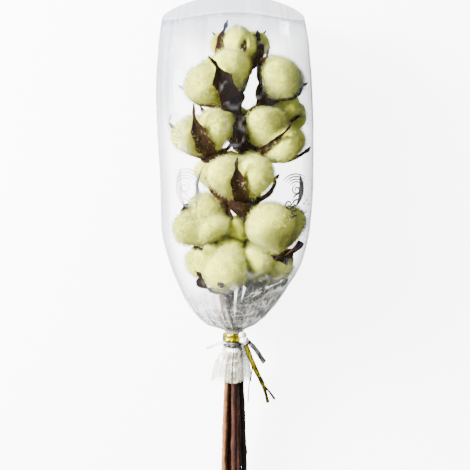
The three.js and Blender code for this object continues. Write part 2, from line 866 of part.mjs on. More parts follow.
const film = addPiece("sleeve", sleeveWall(), COLOURS.film, 0.1, 0);
film.material.transparent = true;
film.material.opacity = 0.25;
film.material.side = THREE.DoubleSide;
addPiece("tie_band", bandSolid(), COLOURS.gold, 0.25, 0.9);
const knot = knotSolid();
addPiece("tie_knot", cutBy(knot, [bandSolid()]), COLOURS.knot, 0.4, 0.2);
addPiece("tie_tail_gold", goldTail(), COLOURS.gold, 0.25, 0.9);
addPiece("tie_tail_dark", darkTail(), COLOURS.dark, 0.3, 0.7);

// The origin is on the table, under the middle of the bunch's box.
const box = new THREE.Box3().setFromObject(bunch);
const middle = box.getCenter(new THREE.Vector3());
bunch.position.set(-middle.x, -middle.y, -box.min.z);

export default bunch;
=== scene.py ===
"""Cotton stem bunch: the finished surfaces of the bolls, husks, stems, film and tie.

Everything is worked out in millimetres with the tie above the origin, the bolls
towards +Y and the table at z = 0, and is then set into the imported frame.
"""

import bpy
import numpy as np
from bpy.props import FloatProperty, FloatVectorProperty, IntProperty, PointerProperty
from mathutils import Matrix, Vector


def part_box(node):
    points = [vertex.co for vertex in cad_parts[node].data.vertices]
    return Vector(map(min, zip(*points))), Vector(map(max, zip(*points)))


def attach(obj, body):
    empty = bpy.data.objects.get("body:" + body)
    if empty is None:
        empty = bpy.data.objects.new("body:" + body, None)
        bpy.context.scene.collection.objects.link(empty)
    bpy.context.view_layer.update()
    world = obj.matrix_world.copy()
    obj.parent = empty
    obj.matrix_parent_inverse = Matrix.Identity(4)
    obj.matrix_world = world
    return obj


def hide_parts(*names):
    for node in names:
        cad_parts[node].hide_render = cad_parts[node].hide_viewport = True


bl_info = {
    "name": "Cotton Stem Bunch",
    "version": (1, 0, 0),
    "blender": (4, 5, 0),
    "location": "View3D > Sidebar > Cotton",
    "description": "Builds a bunch of cotton stems in a clear printed film sleeve",
    "category": "Add Mesh",
}

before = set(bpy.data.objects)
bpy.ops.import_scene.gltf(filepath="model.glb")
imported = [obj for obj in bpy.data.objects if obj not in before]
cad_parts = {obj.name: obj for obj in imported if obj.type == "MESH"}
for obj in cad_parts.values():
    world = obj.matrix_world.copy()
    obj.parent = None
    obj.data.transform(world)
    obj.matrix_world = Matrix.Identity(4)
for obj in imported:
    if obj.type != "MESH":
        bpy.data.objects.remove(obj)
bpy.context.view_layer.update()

MM = 0.001
UP, SIDEWAYS = np.array([0.0, 0.0, 1.0]), np.array([1.0, 0.02, 0.0])
BAND_MIDDLE = np.array([0.0, -0.5, 36.0])
band_low, band_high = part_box("tie_band")
ORIGIN = (np.array(band_low) + np.array(band_high)) / 2 - BAND_MIDDLE * MM

# The bolls, front ones first: the middle of the locks, the axis from the stem to the tip,
# the number of locks, the angle of the first lock from the side that faces up, the size,
# and what isn't usual. open is less than 1 where the bolls around hold the valves closer,
# first is the first lock's size against the others', floor is the depth of the cup, short
# lists the valves with broken tips and gone those that are broken off whole. valves holds
# what makes single valves differ: turn and swing are degrees that the whole valve and its
# tip stand to one side, long and wide are shares of the usual size, and close is the share
# of the usual distance from the axis at the tip.
BOLLS = {
    "f": ((7.2, 137, 69), (-0.05, 0.95, 0.3), 4, 38, 1, {"floor": 6, "valves": {
        0: {"long": 0.62, "close": 0.85},
        2: {"long": 0.55, "close": 0.9},
        3: {"long": 1.08, "close": 0.85, "swing": -4},
    }}),
    "b": ((-13, 217.5, 64), (-0.5, 0.84, 0.2), 3, 60, 1, {"floor": 3, "valves": {
        0: {"turn": -22},
        1: {"turn": 10, "long": 0.78, "close": 0.92},
        2: {"swing": 6, "long": 1.05, "wide": 1.1},
    }}),
    "c": ((39.5, 219.5, 60), (0.62, 0.72, 0.3), 3, 6, 0.81, {"first": 1.42, "floor": 6, "valves": {
        0: {"turn": 8, "long": 0.95, "close": 0.7},
        1: {"long": 0.8},
        2: {"turn": -6, "long": 0.9, "close": 0.9, "wide": 1.3},
    }}),
    "d": ((-24, 172.5, 66), (-0.36, 0.9, 0.2), 4, 34, 0.93, {"valves": {
        0: {"long": 0.6, "close": 0.8},
        2: {"close": 0.75},
        3: {"turn": -4, "swing": 12, "long": 1.3, "close": 0.9},
    }}),
    "h": ((-10, 63, 56), (-0.1, 0.8, 0.6), 3, 14, 1.03, {
        "first": 1.1, "gone": (0,), "valves": {2: {"turn": 2, "long": 0.85, "close": 0.8, "wide": 0.8}},
    }),
    "j": ((34, 92, 58), (-0.27, 0.95, -0.1), 3, -8, 1.03, {
        "first": 1.22, "short": (0, 1), "gone": (2,), "valves": {0: {"turn": -12, "long": 0.4}},
    }),
    "g": ((-25.5, 97, 54), (-0.2, 0.25, 0.95), 3, 12, 0.88, {
        "first": 1.1, "valves": {1: {"close": 0.6}, 2: {"close": 0.8}},
    }),
    "e": ((33.5, 171, 60), (0.7, 0.64, 0.34), 4, 45, 0.93, {
        "valves": {3: {"turn": 12, "long": 1.2, "close": 0.8, "wide": 0.4}},
    }),
    "a": ((4.5, 247, 37), (0, 1, 0.05), 4, 0, 0.89, {
        "first": 1.2, "valves": {0: {"turn": 18, "close": 0.5}, 3: {"turn": -16, "long": 1.22, "close": 0.3}},
    }),
    "i": ((22.5, 65, 49), (0.26, 0.92, 0.15), 4, -14, 0.96, {"gone": (0, 3)}),
    "k": ((42, 193, 28), (0.4, 0.85, -0.2), 4, 0, 0.86, {"open": 0.88, "gone": (0,)}),
    "m": ((1.5, 89, 47), (-0.05, 0.98, 0.1), 4, 0, 0.74, {"open": 0.8, "gone": (0, 3)}),
    "n": ((-6, 138, 26), (0.05, 0.99, -0.05), 4, 10, 0.86, {"open": 0.9, "gone": (0, 3)}),
    "p": ((10, 182, 27), (0.05, 0.97, -0.2), 4, 45, 0.88, {"open": 0.9, "gone": (3,)}),
}
CUP_FLOOR, GAP = 1.6, 0.35
USUAL_BOLL = {"open": 1, "first": 1, "floor": CUP_FLOOR, "short": (), "gone": (), "valves": {}}
USUAL_VALVE = {"turn": 0, "swing": 0, "long": 1, "close": 1, "wide": 1}
HIDDEN, HIDDEN_SHARE = "knpma", 3  # bolls that lie under the others carry a third of the fibres
FIBRES_A_WISP = 14
LINT_GRID = 56, 94  # rings and columns
SPECK_ON, SPECK_AT = "h", (-11.5, 47.6)

# The cotton of a boll of size 1: the heart's height above the cup's foot, how far the
# locks' middles stand off the axis, and their half sizes outwards, sideways and up. THIRD
# is for bolls of three locks, and CORE fills the middle.
HEART = 24.0
LOCK_OUT, LOCK_RADIAL, LOCK_SIDE, LOCK_UP = 18.3, 18.6, 16.0, 19.5
THIRD_OUT, THIRD_SIDE = 15.0, 19.5
CORE_WIDE, CORE_UP = 18.0, 15.5
LOCK_FOOT = 0.55  # how narrow the cotton is at its foot
SOFT, CREASE_DEEP = 2.5, 2.2  # how softly the solid holds the cotton, and a full crease
NEAR_BOLL, POINTS_APART = 66.0, 1.1  # hearts of bolls that may touch, and a valve's points
FAR, AT_A_TIME = 1e3, 1500  # no valve in the way, and directions worked out together

# A valve's centre line by distance from the axis and height, its half width, and how far
# its edges turn outwards. A broken valve has the first three rows and a ragged end.
VALVE = np.array([
    [6, 2.4, 5.4, 0.3],
    [14.6, 8.6, 8, 1],
    [22.4, 18, 7.2, 1.7],
    [26.8, 28, 5.2, 1.8],
    [29.4, 36.5, 2.2, 0.6],
    [34.6, 44, 0.55, 0],
])
BROKEN = np.vstack([VALVE[:3] * [1, 1, 0.7, 1], [[24.6, 23, 1.2, 0.4]]])
BLADE_ROWS, BROKEN_ROWS, BLADE_COLUMNS = 42, 20, 13
VALVE_ROOM = 2.8  # a valve stays this far from the film, down to NARROW of its reach
NARROW = 0.3
BLADE_ROOM = 1.3  # the cotton stays this far under the middle of a valve
CUP_RIM, CUP_TOP = (10.6, 4.2), 6.0
CUP_SEAT, SEAT_GROWS = 4.2, 0.65  # radius of the cup's underside, and how depth widens it
CALYX_SIZE = {"f": 1.12, "c": 1.15, "h": 0.8, "i": 0.85, "j": 0.75}  # 1 for the rest

# The stems: the angle on the neck's ring, the cut end, the way through the head, the boll
# at the top, and the side twigs, each with the distance where it leaves the stalk.
STEMS = {
    1: (234, [-3.4, -200, 3.1],
        [[-2, 38, 27], [1, 80, 18], [5, 112, 27], [6, 142, 46], [4.7, 164, 55], [5.6, 184, 57]],
        "b", [(180, [[12, 188, 51]], "c"), (174, [[2.4, 196, 44]], "a")]),
    2: (162, [-9.6, -193, 3.1],
        [[-9.5, 28, 30], [-14, 56, 20], [-13, 86, 25], [-13, 116, 45]],
        "d", [(64, [[-20, 84, 15]], "g"), (70, [[-9, 94, 24]], "n")]),
    3: (18, [10, -197, 3.1],
        [[9, 28, 29], [18, 60, 14], [22, 95, 20], [19, 122, 26], [15, 142, 29]],
        "e", [(26, [[28, 38, 24], [43, 47, 40]], "j"), (118, [[31, 146, 26]], "k")]),
    4: (306, [3.6, -188, 3.1],
        [[4.2, 30, 28.4], [9, 60, 24], [17, 79, 34], [15, 92, 48]],
        "f", [(46, [[4.5, 57, 32]], "m"), (74, [[15, 88, 33], [13, 108, 34], [9, 130, 32]], "p")]),
    5: (90, [0.2, -199, 8.6], [[-1, 12, 40.4], [-4.4, 25, 36.8]], "h", [(10, [[6, 18, 45]], "i")]),
}
STALK_CUT, STALK_TOP, TWIG = 2.55, 2.1, 1.9
KNUCKLE, KNUCKLE_EVERY, STALK_BOW = 0.22, 66.0, 1.3
KNUCKLE_FREE = 24.0  # no knuckles this near the tie
NECK_Z, NECK_RING = 36.0, 4.45

# The film sleeve: its radius in the tie, its underside, which the table flattens, and how
# far the mouth bows back at its sides, then its wall, its deepest fold and its lowest point
NECK_FILM, FLAT, MOUTH_BOW = 8.1, -1.6, 12.0
FILM_THICK, FILM_SINKS, ON_TABLE = 0.16, 1.4, 0.08
FILM_COLUMNS = 270
FILM_BANDS = ((-37, -12, 16), (-12, 5, 8), (5, 40, 34), (40, 100, 30), (100, 286, 44))
INK_TOP, INK_LOW = 0.14, 0.06  # how far the two faces of a printed stroke stand off the film

# The sleeve from skirt to mouth: half widths left and right, top, bottom and roundness
TIED = [NECK_FILM, NECK_FILM, NECK_Z + NECK_FILM, NECK_Z - NECK_FILM, 2]
SLEEVE_Y = [-37, -23, -12, -6, 5, 11, 24, 45, 66, 93, 132, 175, 215, 250, 286]
SLEEVE = np.array([
    [20, 15.5, 43, 18, 2.2],
    [16.5, 13.5, 44, 22, 2.1],
    [11, 10.4, 44.6, 25.6, 2],
    TIED,
    TIED,
    [23, 17, 54, 20, 2.2],
    [36, 31, 71, 9, 2.4],
    [46.5, 46, 89, 1, 2.5],
    [54.5, 57.5, 99, FLAT, 2.6],
    [60.5, 63.5, 104, FLAT, 2.6],
    [61.5, 66.3, 105, FLAT, 2.6],
    [64, 66.3, 104, FLAT, 2.6],
    [65.5, 65.5, 101, FLAT, 2.6],
    [64, 63.5, 88, FLAT, 2.5],
    [61, 60, 70, FLAT, 2.4],
])

# The film's colours where it is thin, by the tie, in its shaded folds, and in the dark lines of painted shade
# along its crumples and fold valleys
FILM_THIN, FILM_GREY = (0.02, 0.014, 0.008), (0.42, 0.42, 0.33)
FILM_DUSK, FILM_GLOOM = (0.28, 0.26, 0.15), (0.13, 0.13, 0.11)

# The print: motifs with their place, size, ink and hand, and dots with place and ink
SPRAYS = (51, 112, 1.0, 1.0, 1), (-40, 112, 1.15, 0.35, -1), (-49, 168, 0.75, 0.28, -1)
DOTS = (-51.9, 183.6, 0.5), (60.4, 178.5, 0.7), (-50.2, 85, 0.5)

# The tie: the band's radius and half height, the knot's lobes by middle and half sizes, the
# strand's route, and ribbons by route, width, thickness, seed of their waves and curl
BAND_RADIUS, BAND_HALF, FOIL = 9.0, 3.8, 0.25
LOBES = ([9, -2.6, 45], [4.2, 3.4, 2.6]), ([7.4, 2.4, 45.4], [3.2, 3, 1.7])
STRAND = [[7.5, -4.4, 46], [1, -6.2, 46.3], [-5, -7, 44], [-8.8, -6.4, 39.5]]
THREAD = [[14.5, -20, 36], [15.6, -27, 35], [13, -41, 32], [11.9, -57, 29]], 1.0, 0.4, 9, 1.5
CLEAR_STRIP = [([[-6.5, -3.6, 44.4], [-14, -5.4, 44], [-24, -9.6, 40]], 3.0, 0.2, 8, 0.4)]
GOLD_TAIL = [
    ([[9.4, -4.6, 45.8], [17.5, -25, 46], [24.6, -40, 42]], 4.2, FOIL, 1, 0.3),
    ([[21, -32.5, 44.6], [24.6, -40, 42], [29.2, -56.5, 36]], 2.9, FOIL, 2, 0.5),
    ([[21, -32.5, 44.7], [24.6, -40, 42.4], [30.5, -47, 40.5], [35, -53.5, 37]], 2.1, FOIL, 3, 0.8),
]
DARK_TAIL = [([[12, -2.8, 44.6], [18.5, -10, 46], [26, -21.2, 44]], 4.0, FOIL, 4, 0.3)]

# The stage in metres, with the lamps' places from the middle of the view, watts and sizes
VIEW_MIDDLE, CAMERA_UP, FLOOR_HALF = [0.85, 87.5, 45], 0.944, 3.0
LAMPS = {
    "key": ((-1.15, 0.42, 0.6), 310.0, 0.6, 0.6),
    "fill": ((0.9, 0.1, 0.9), 9.0, 0.7, 0.7),
    "strip": ((-0.75, -0.15, 0.55), 6.0, 0.12, 1.1),
}
FLOOR_GLOW, BACKDROP_GLOW, BACKDROP_LIGHT = 6.5, 6.0, 0.24

# A share of each surface's square in its map, left free at the edges and for end fans
MAP_EDGE, RIM_STRIP, FIBRE_SPOT = 0.02, 0.01, 0.004
MAP_NAME = "OFBake"


def put(points):
    """Points in the bunch's millimetres as points in the frame."""
    return np.asarray(points, float) * MM + ORIGIN


def unit(vectors):
    """Vectors at length 1."""
    vectors = np.asarray(vectors, float)
    return vectors / np.maximum(np.linalg.norm(vectors, axis=-1, keepdims=True), 1e-12)


def rise(low, high, x):
    """0 below low, 1 above high, and a smooth step between: 3t^2 - 2t^3."""
    t = np.clip((np.asarray(x, float) - low) / (high - low), 0, 1)
    return t * t * (3 - 2 * t)


def hashed(cells, seed):
    """A fixed number from 0 to 1 for each cell, by multiplying and folding its bits."""
    x, y, z = np.moveaxis(cells.astype(np.int64), -1, 0)
    h = (x * 73856093) ^ (y * 19349663) ^ (z * 83492791) ^ (seed * 2654435761)
    h = ((h ^ (h >> 13)) & 0xFFFFFFFF) * 1274126177 & 0xFFFFFFFF
    return ((h ^ (h >> 16)) & 0xFFFFFF) / 0xFFFFFF


def noise(points, scale, seed):
    """Smooth noise from -1 to 1: the eight corners' numbers, blended by 3t^2 - 2t^3."""
    p = np.asarray(points, float) / scale
    cell = np.floor(p)
    t = p - cell
    t = t * t * (3 - 2 * t)
    total = np.zeros(p.shape[:-1])
    for corner in np.ndindex(2, 2, 2):
        weight = np.prod(np.where(corner, t, 1 - t), axis=-1)
        total += weight * hashed(cell + np.array(corner), seed)
    return 2 * total - 1


def layered(points, scale, seed):
    """Noise added up over three layers, each half the size and half the strength."""
    return sum(noise(points, scale / 2**n, seed + n) / 2**n for n in range(3)) / 1.75


def creased(points, scale, seed):
    """Noise with sharp folds, from 0 to 1: 1 where smooth noise crosses zero."""
    return 1 - np.abs(noise(points, scale, seed))


def bell(x, middle, wide):
    """1 at the middle, and e to the minus square of the distance over the width."""
    return np.exp(-(((x - middle) / wide) ** 2))


def full_turn(count):
    """Angles evenly spaced round a full turn."""
    return np.linspace(0, 2 * np.pi, count, endpoint=False)


def wrapped(turn, radius, z):
    """Places on a cylinder, where noise closes on itself round a turn."""
    return np.stack([np.cos(turn) * radius, np.sin(turn) * radius, z], axis=-1)


def sphere(rings, columns):
    """Unit vectors over a sphere in rings, without its poles."""
    polar, turn = np.meshgrid(np.linspace(0, np.pi, rings)[1:-1], full_turn(columns), indexing="ij")
    return np.stack([np.sin(polar) * np.cos(turn), np.sin(polar) * np.sin(turn), np.cos(polar)], axis=-1)


def spokes(side, up, turn):
    """Unit vectors at these angles in the plane of side and up, for each point of a line."""
    return side[:, None] * np.cos(turn)[None, :, None] + up[:, None] * np.sin(turn)[None, :, None]


def turned(side, up, angle):
    """Side and up turned by an angle in their plane."""
    cos, sin = np.cos(angle), np.sin(angle)
    return side * cos + up * sin, up * cos - side * sin


def cubic(a, b, leave, arrive, t):
    """The cubic from a to b that starts with one slope and ends with the other."""
    return (
        a * (2 * t**3 - 3 * t**2 + 1)
        + leave * (t**3 - 2 * t**2 + t)
        + b * (3 * t**2 - 2 * t**3)
        + arrive * (t**3 - t**2)
    )


def through(knots, values, at):
    """A smooth curve through rows of values that never overshoots them: cubic pieces
    whose slope at a knot is the harmonic mean of the slopes on its two sides."""
    knots, values = np.asarray(knots, float), np.asarray(values, float)
    step = np.diff(knots)[:, None]
    slope = np.diff(values, axis=0) / step
    inner = np.zeros_like(slope[1:])
    same = slope[1:] * slope[:-1] > 0
    inner[same] = 2 * slope[1:][same] * slope[:-1][same] / (slope[1:] + slope[:-1])[same]
    tangent = np.vstack([slope[:1], inner, slope[-1:]])
    at = np.clip(np.asarray(at, float), knots[0], knots[-1])
    i = np.clip(np.searchsorted(knots, at, side="right") - 1, 0, len(knots) - 2)
    h = step[i]
    t = ((at - knots[i]) / h[..., 0])[..., None]
    return cubic(values[i], values[i + 1], tangent[i] * h, tangent[i + 1] * h, t)


def route(points, spacing):
    """Evenly spaced points on the centripetal Catmull-Rom curve through the points, and
    how far along it each lies."""
    p = np.asarray(points, float)
    p = np.vstack([2 * p[0] - p[1], p, 2 * p[-1] - p[-2]])
    gap = np.sqrt(np.linalg.norm(np.diff(p, axis=0), axis=1))
    t = np.linspace(0, 1, 24, endpoint=False)[:, None]
    pieces = []
    for i in range(1, len(p) - 2):
        a, b, c = gap[i - 1], gap[i], gap[i + 1]
        start = ((p[i] - p[i - 1]) / a - (p[i + 1] - p[i - 1]) / (a + b)) * b + p[i + 1] - p[i]
        stop = ((p[i + 2] - p[i + 1]) / c - (p[i + 2] - p[i]) / (b + c)) * b + p[i + 1] - p[i]
        pieces.append(cubic(p[i], p[i + 1], start, stop, t))
    line = np.vstack([*pieces, p[-2:-1]])
    along = np.concatenate([[0], np.cumsum(np.linalg.norm(np.diff(line, axis=0), axis=1))])
    even = np.linspace(0, along[-1], max(4, round(along[-1] / spacing)) + 1)
    return np.stack([np.interp(even, along, line[:, k]) for k in range(3)], axis=1), even


def across(line, hint):
    """Three unit vectors at each point of a line: along it, then the hint made square to
    it, then square to both."""
    along = unit(np.gradient(line, axis=0))
    side = unit(hint - along * np.sum(along * hint, axis=-1, keepdims=True))
    return along, side, np.cross(along, side)


def grid(rows, columns, wrap):
    """Quads over rows and columns of points, and the place of each corner from 0 to 1.
    wrap joins the last column to the first."""
    wide = columns if wrap else columns - 1
    i, k = (a.ravel() for a in np.meshgrid(np.arange(rows - 1), np.arange(wide), indexing="ij"))
    corners = [(i, k), (i, k + 1), (i + 1, k + 1), (i + 1, k)]
    faces = np.stack([a * columns + b % columns for a, b in corners], axis=1)
    places = np.stack([np.stack([b / wide, a / (rows - 1)], axis=-1) for a, b in corners], axis=1)
    return faces, places


def spots(*corners):
    """The corners of faces in the map: each corner has a place along for every face, and
    one height for all."""
    return np.stack([np.stack([u, np.full(len(u), v)], axis=-1) for u, v in corners], axis=1)


class Skin:
    """Closed surfaces gathered into one mesh, with named numbers for each point, and a
    map in which each surface has a square of its own."""

    def __init__(self):
        self.points, self.parts, self.numbers = [], [], []
        self.count, self.squares = 0, 0

    def add(self, points, parts, **numbers):
        """Adds a closed surface: its points, and pairs of faces and corner places. It is
        turned right side out if its volume comes out negative."""
        points = np.asarray(points, float).reshape(-1, 3)
        volume = 0
        for faces, _ in parts:
            for k in range(1, faces.shape[1] - 1):
                a, b, c = (points[faces[:, n]] for n in (0, k, k + 1))
                volume += np.einsum("ij,ij->", a, np.cross(b, c))
        turn = slice(None, None, -1 if volume < 0 else 1)
        for faces, places in parts:
            self.parts.append((faces[:, turn] + self.count, places[:, turn], self.squares))
        self.points.append(points)
        self.numbers.append(numbers)
        self.count += len(points)
        self.squares += 1

    def tube(self, rings, ends=None, **numbers):
        """A skin over rows of rings, with a fan of triangles to a point at each end, the
        middle of its ring unless ends are given. A number is one value or a grid for the
        rings' points, and the ends take their ring's mean."""
        rows, columns = rings.shape[:2]
        faces, places = grid(rows, columns, True)
        k = np.arange(columns)
        after = (k + 1) % columns
        fans = []
        for hub, start, edge in ((rows * columns, 0, 0.0), (rows * columns + 1, (rows - 1) * columns, 1.0)):
            corner = np.stack([np.full(columns, hub), start + after, start + k], axis=1)
            near = abs(edge - MAP_EDGE)
            spot = spots(((k + 0.5) / columns, edge), ((k + 1) / columns, near), (k / columns, near))
            fans.append((corner[:, ::-1], spot[:, ::-1]) if edge else (corner, spot))
        places = places * [1, 1 - 2 * MAP_EDGE] + [0, MAP_EDGE]
        for name, value in numbers.items():
            value = np.broadcast_to(value, (rows, columns))
            numbers[name] = np.append(value, [value[0].mean(), value[-1].mean()])
        if ends is None:
            ends = [rings[0].mean(axis=0), rings[-1].mean(axis=0)]
        self.add(np.vstack([rings.reshape(-1, 3), ends]), [(faces, places), *fans], **numbers)

    def wall(self, front, back, wrap=False, **numbers):
        """A thin wall between two grids of points that are split into faces alike, with
        its rim closed. A number is one value or a grid, or a pair of them where the front
        and the back differ."""
        rows, columns = front.shape[:2]
        faces, places = grid(rows, columns, wrap)
        behind = rows * columns
        half = np.array([0.5, 1.0])
        parts = [(faces, places * half), ((faces + behind)[:, ::-1], (places * half + [0.5, 0])[:, ::-1])]
        edges = [np.arange(columns), np.arange(columns)[::-1] + (rows - 1) * columns]
        if not wrap:
            down = np.arange(rows) * columns
            edges += [down[::-1], down + columns - 1]
        for edge in edges:
            loop = np.append(edge, edge[0]) if wrap else edge
            a, b = loop[:-1], loop[1:]
            u = np.linspace(0, 0.5, len(loop))
            rim = spots((u[1:], 0.0), (u[:-1], 0.0), (u[:-1], RIM_STRIP), (u[1:], RIM_STRIP))
            parts.append((np.stack([b, a, a + behind, b + behind], axis=1), rim))
        for name, value in numbers.items():
            pair = value if isinstance(value, tuple) else (value, value)
            numbers[name] = np.concatenate([np.broadcast_to(one, (rows, columns)).ravel() for one in pair])
        self.add(np.concatenate([front.reshape(-1, 3), back.reshape(-1, 3)]), parts, **numbers)

    def object(self, name, material, stands_for=()):
        """The mesh as an object that rides on the bunch, in the frame's metres."""
        mesh = bpy.data.meshes.new(name)
        points = put(np.concatenate(self.points))
        mesh.vertices.add(len(points))
        mesh.vertices.foreach_set("co", points.ravel())
        side = int(np.ceil(np.sqrt(self.squares)))
        corners = np.concatenate([faces.ravel() for faces, _, _ in self.parts])
        sizes = np.concatenate([np.full(len(f), f.shape[1]) for f, _, _ in self.parts])
        mesh.loops.add(len(corners))
        mesh.loops.foreach_set("vertex_index", corners.astype(np.int32))
        mesh.polygons.add(len(sizes))
        starts = np.concatenate([[0], np.cumsum(sizes)[:-1]])
        mesh.polygons.foreach_set("loop_start", starts.astype(np.int32))
        mesh.update(calc_edges=True)
        spread = np.concatenate([
            (places.reshape(-1, 2) * (1 - 2 * MAP_EDGE) + MAP_EDGE + [square % side, square // side]) / side
            for _, places, square in self.parts
        ])
        mesh.uv_layers.new(name=MAP_NAME).uv.foreach_set("vector", spread.astype(np.float32).ravel())
        for key in self.numbers[0]:
            values = np.concatenate([part[key] for part in self.numbers])
            mesh.attributes.new(key, "FLOAT", "POINT").data.foreach_set("value", values.astype(np.float32))
        mesh.shade_smooth()
        mesh.validate()
        mesh.materials.append(material)
        piece = bpy.data.objects.new(name, mesh)
        bpy.context.scene.collection.objects.link(piece)
        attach(piece, "root")
        if stands_for:
            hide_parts(*stands_for)


# Node trees


def shader(name):
    """A new material, the calls that add nodes to it, and its Principled shader."""
    material = bpy.data.materials.new(name)
    material.use_nodes = True
    tree = material.node_tree
    return material, Nodes(tree), tree.nodes["Principled BSDF"]


class Nodes:
    """Short calls that add nodes to a tree and link them."""

    def __init__(self, tree):
        self.tree = tree

    def new(self, kind, inputs=(), **settings):
        node = self.tree.nodes.new(kind)
        for name, value in settings.items():
            setattr(node, name, value)
        return self.fill(node, inputs)

    def fill(self, node, inputs):
        """Gives each input its value, or a link where the value is another's output."""
        for name, value in dict(inputs).items():
            if isinstance(value, bpy.types.NodeSocket):
                self.tree.links.new(value, node.inputs[name])
            else:
                node.inputs[name].default_value = value
        return node

    def math(self, operation, a, b=0.0, clamp=False):
        inputs = {0: a, 1: b}
        return self.new("ShaderNodeMath", inputs, operation=operation, use_clamp=clamp).outputs[0]

    def times(self, a, b, clamp=False):
        return self.math("MULTIPLY", a, b, clamp)

    def plus(self, a, b, clamp=False):
        return self.math("ADD", a, b, clamp)

    def most(self, a, b):
        return self.math("MAXIMUM", a, b)

    def mix(self, factor, a, b):
        a, b = (one if isinstance(one, bpy.types.NodeSocket) else (*one, 1.0) for one in (a, b))
        return self.new("ShaderNodeMix", {0: factor, 6: a, 7: b}, data_type="RGBA").outputs[2]

    def span(self, value, low, high, to_low=0.0, to_high=1.0):
        inputs = {0: value, 1: low, 2: high, 3: to_low, 4: to_high}
        return self.new("ShaderNodeMapRange", inputs).outputs[0]

    def line(self, value, level, wide):
        """1 where a value is at a level, down to 0 at this distance from it."""
        off = self.math("ABSOLUTE", self.math("SUBTRACT", value, level))
        return self.span(off, 0.0, wide, 1.0, 0.0)

    def number(self, name):
        return self.new("ShaderNodeAttribute", attribute_name=name).outputs["Fac"]

    def place(self, stretch=(1, 1, 1)):
        spot = self.new("ShaderNodeTexCoord").outputs["Object"]
        return self.new("ShaderNodeMapping", {"Vector": spot, "Scale": stretch}).outputs[0]

    def speckle(self, place, scale, detail, rough=0.6):
        inputs = {"Vector": place, "Scale": scale, "Detail": detail, "Roughness": rough}
        return self.new("ShaderNodeTexNoise", inputs).outputs["Fac"]

    def bump(self, height, distance, strength):
        inputs = {"Height": height, "Distance": distance, "Strength": strength}
        return self.new("ShaderNodeBump", inputs).outputs[0]


def mottle_group():
    """A node group: fine and coarse grain in Object coordinates, as a mask and a height."""
    if "Grain" in bpy.data.node_groups:
        return bpy.data.node_groups["Grain"]
    group = bpy.data.node_groups.new("Grain", "ShaderNodeTree")
    face = group.interface
    for name, value in (("Coarse", 60.0), ("Fine", 400.0), ("Stretch", 1.0)):
        face.new_socket(name, in_out="INPUT", socket_type="NodeSocketFloat").default_value = value
    for name in ("Mask", "Height"):
        face.new_socket(name, in_out="OUTPUT", socket_type="NodeSocketFloat")
    n = Nodes(group)
    entry = n.new("NodeGroupInput").outputs
    spot = n.new("ShaderNodeTexCoord").outputs["Object"]
    scale = n.new("ShaderNodeCombineXYZ", {"X": 1.0, "Y": entry["Stretch"], "Z": 1.0}).outputs[0]
    place = n.new("ShaderNodeVectorMath", {0: spot, 1: scale}, operation="MULTIPLY").outputs[0]
    coarse = n.speckle(place, entry["Coarse"], 3.0, 0.55)
    fine = n.speckle(place, entry["Fine"], 5.0, 0.65)
    mask = n.plus(n.times(coarse, 0.6), n.times(fine, 0.4))
    n.new("NodeGroupOutput", {"Mask": n.span(mask, 0.32, 0.68), "Height": mask})
    return group


def grain(n, coarse, fine, stretch):
    """Places the grain group in a material and gives its mask and height."""
    inputs = {"Coarse": coarse, "Fine": fine, "Stretch": stretch}
    node = n.new("ShaderNodeGroup", inputs, node_tree=mottle_group())
    return node.outputs["Mask"], node.outputs["Height"]


def toned(colour, share):
    """A colour made darker or lighter by a share."""
    return [part * share for part in colour]


def lint_material(look):
    """Soft ivory cotton with yellower patches, and painted shade, olive and darker, in its creases and at its
    foot.
    """
    material, n, skin = shader("cotton lint")
    mask, height = grain(n, 45.0, 900.0, 1.0)
    patch = n.span(n.speckle(n.place(), 28.0, 2.0), 0.42, 0.66, 0.0, 0.5)
    ivory = n.mix(patch, n.mix(mask, look.lint, toned(look.lint, 0.93)), look.lint_warm)
    # Painted shade: the crease number turns the cotton towards the shade colour deep in its creases and low
    # at its foot, where shadow falls.
    deep = n.times(n.number("crease"), n.span(mask, 0.0, 1.0, 0.75, 1.0), clamp=True)
    strands = n.speckle(n.place(), 260.0, 6.0, 0.7)
    n.fill(skin, {
        "Base Color": n.mix(deep, ivory, look.lint_shade),
        "Roughness": 0.92,
        "Specular IOR Level": 0.15,
        "Subsurface Weight": 0.25,
        "Subsurface Radius": (1.0, 0.85, 0.5),
        "Subsurface Scale": 0.004,
        "Sheen Weight": 0.3,
        "Sheen Tint": (1.0, 1.0, 0.7, 1.0),
        "Sheen Roughness": 0.5,
        "Normal": n.bump(n.plus(height, strands), 0.0028, 0.9),
    })
    return material


def husk_material(look):
    """Dry crackled husk: dark outside and redder near the foot, tan on the inner face and
    in worn places of the edge, and dark towards the tip."""
    material, n, skin = shader("dry husk")
    mask, height = grain(n, 170.0, 900.0, 1.0)
    crackle = n.speckle(n.place(), 420.0, 5.0, 0.62)
    rough = n.span(crackle, 0.4, 0.62)
    along = n.number("along")
    dark = n.mix(n.times(mask, rough), toned(look.husk, 0.4), look.husk)
    warm = n.mix(rough, toned(look.husk_warm, 0.3), look.husk_warm)
    outside = n.mix(n.times(n.span(along, 0.05, 0.6, 0.9, 0.0), mask), dark, warm)
    inside = n.mix(rough, toned(look.husk_tan, 0.2), look.husk_tan)
    worn = n.span(n.speckle(n.place(), 180.0, 3.0), 0.4, 0.6, 1.0, 0.0)
    rim = n.times(n.span(n.number("edge"), 0.8, 0.97), worn)
    tan = n.most(n.times(n.number("inside"), n.span(worn, 0, 1, 0.15, 0.7)), rim)
    tip = n.span(along, 0.62, 0.8, 1.0, 0.05)
    n.fill(skin, {
        "Base Color": n.mix(n.times(tan, tip), outside, inside),
        "Roughness": n.span(mask, 0.0, 1.0, 0.42, 0.75),
        "Specular IOR Level": 0.1,
        "Specular Tint": (1.0, 0.75, 0.55, 1.0),
        "Normal": n.bump(n.plus(height, crackle), 0.0026, 1.0),
    })
    return material


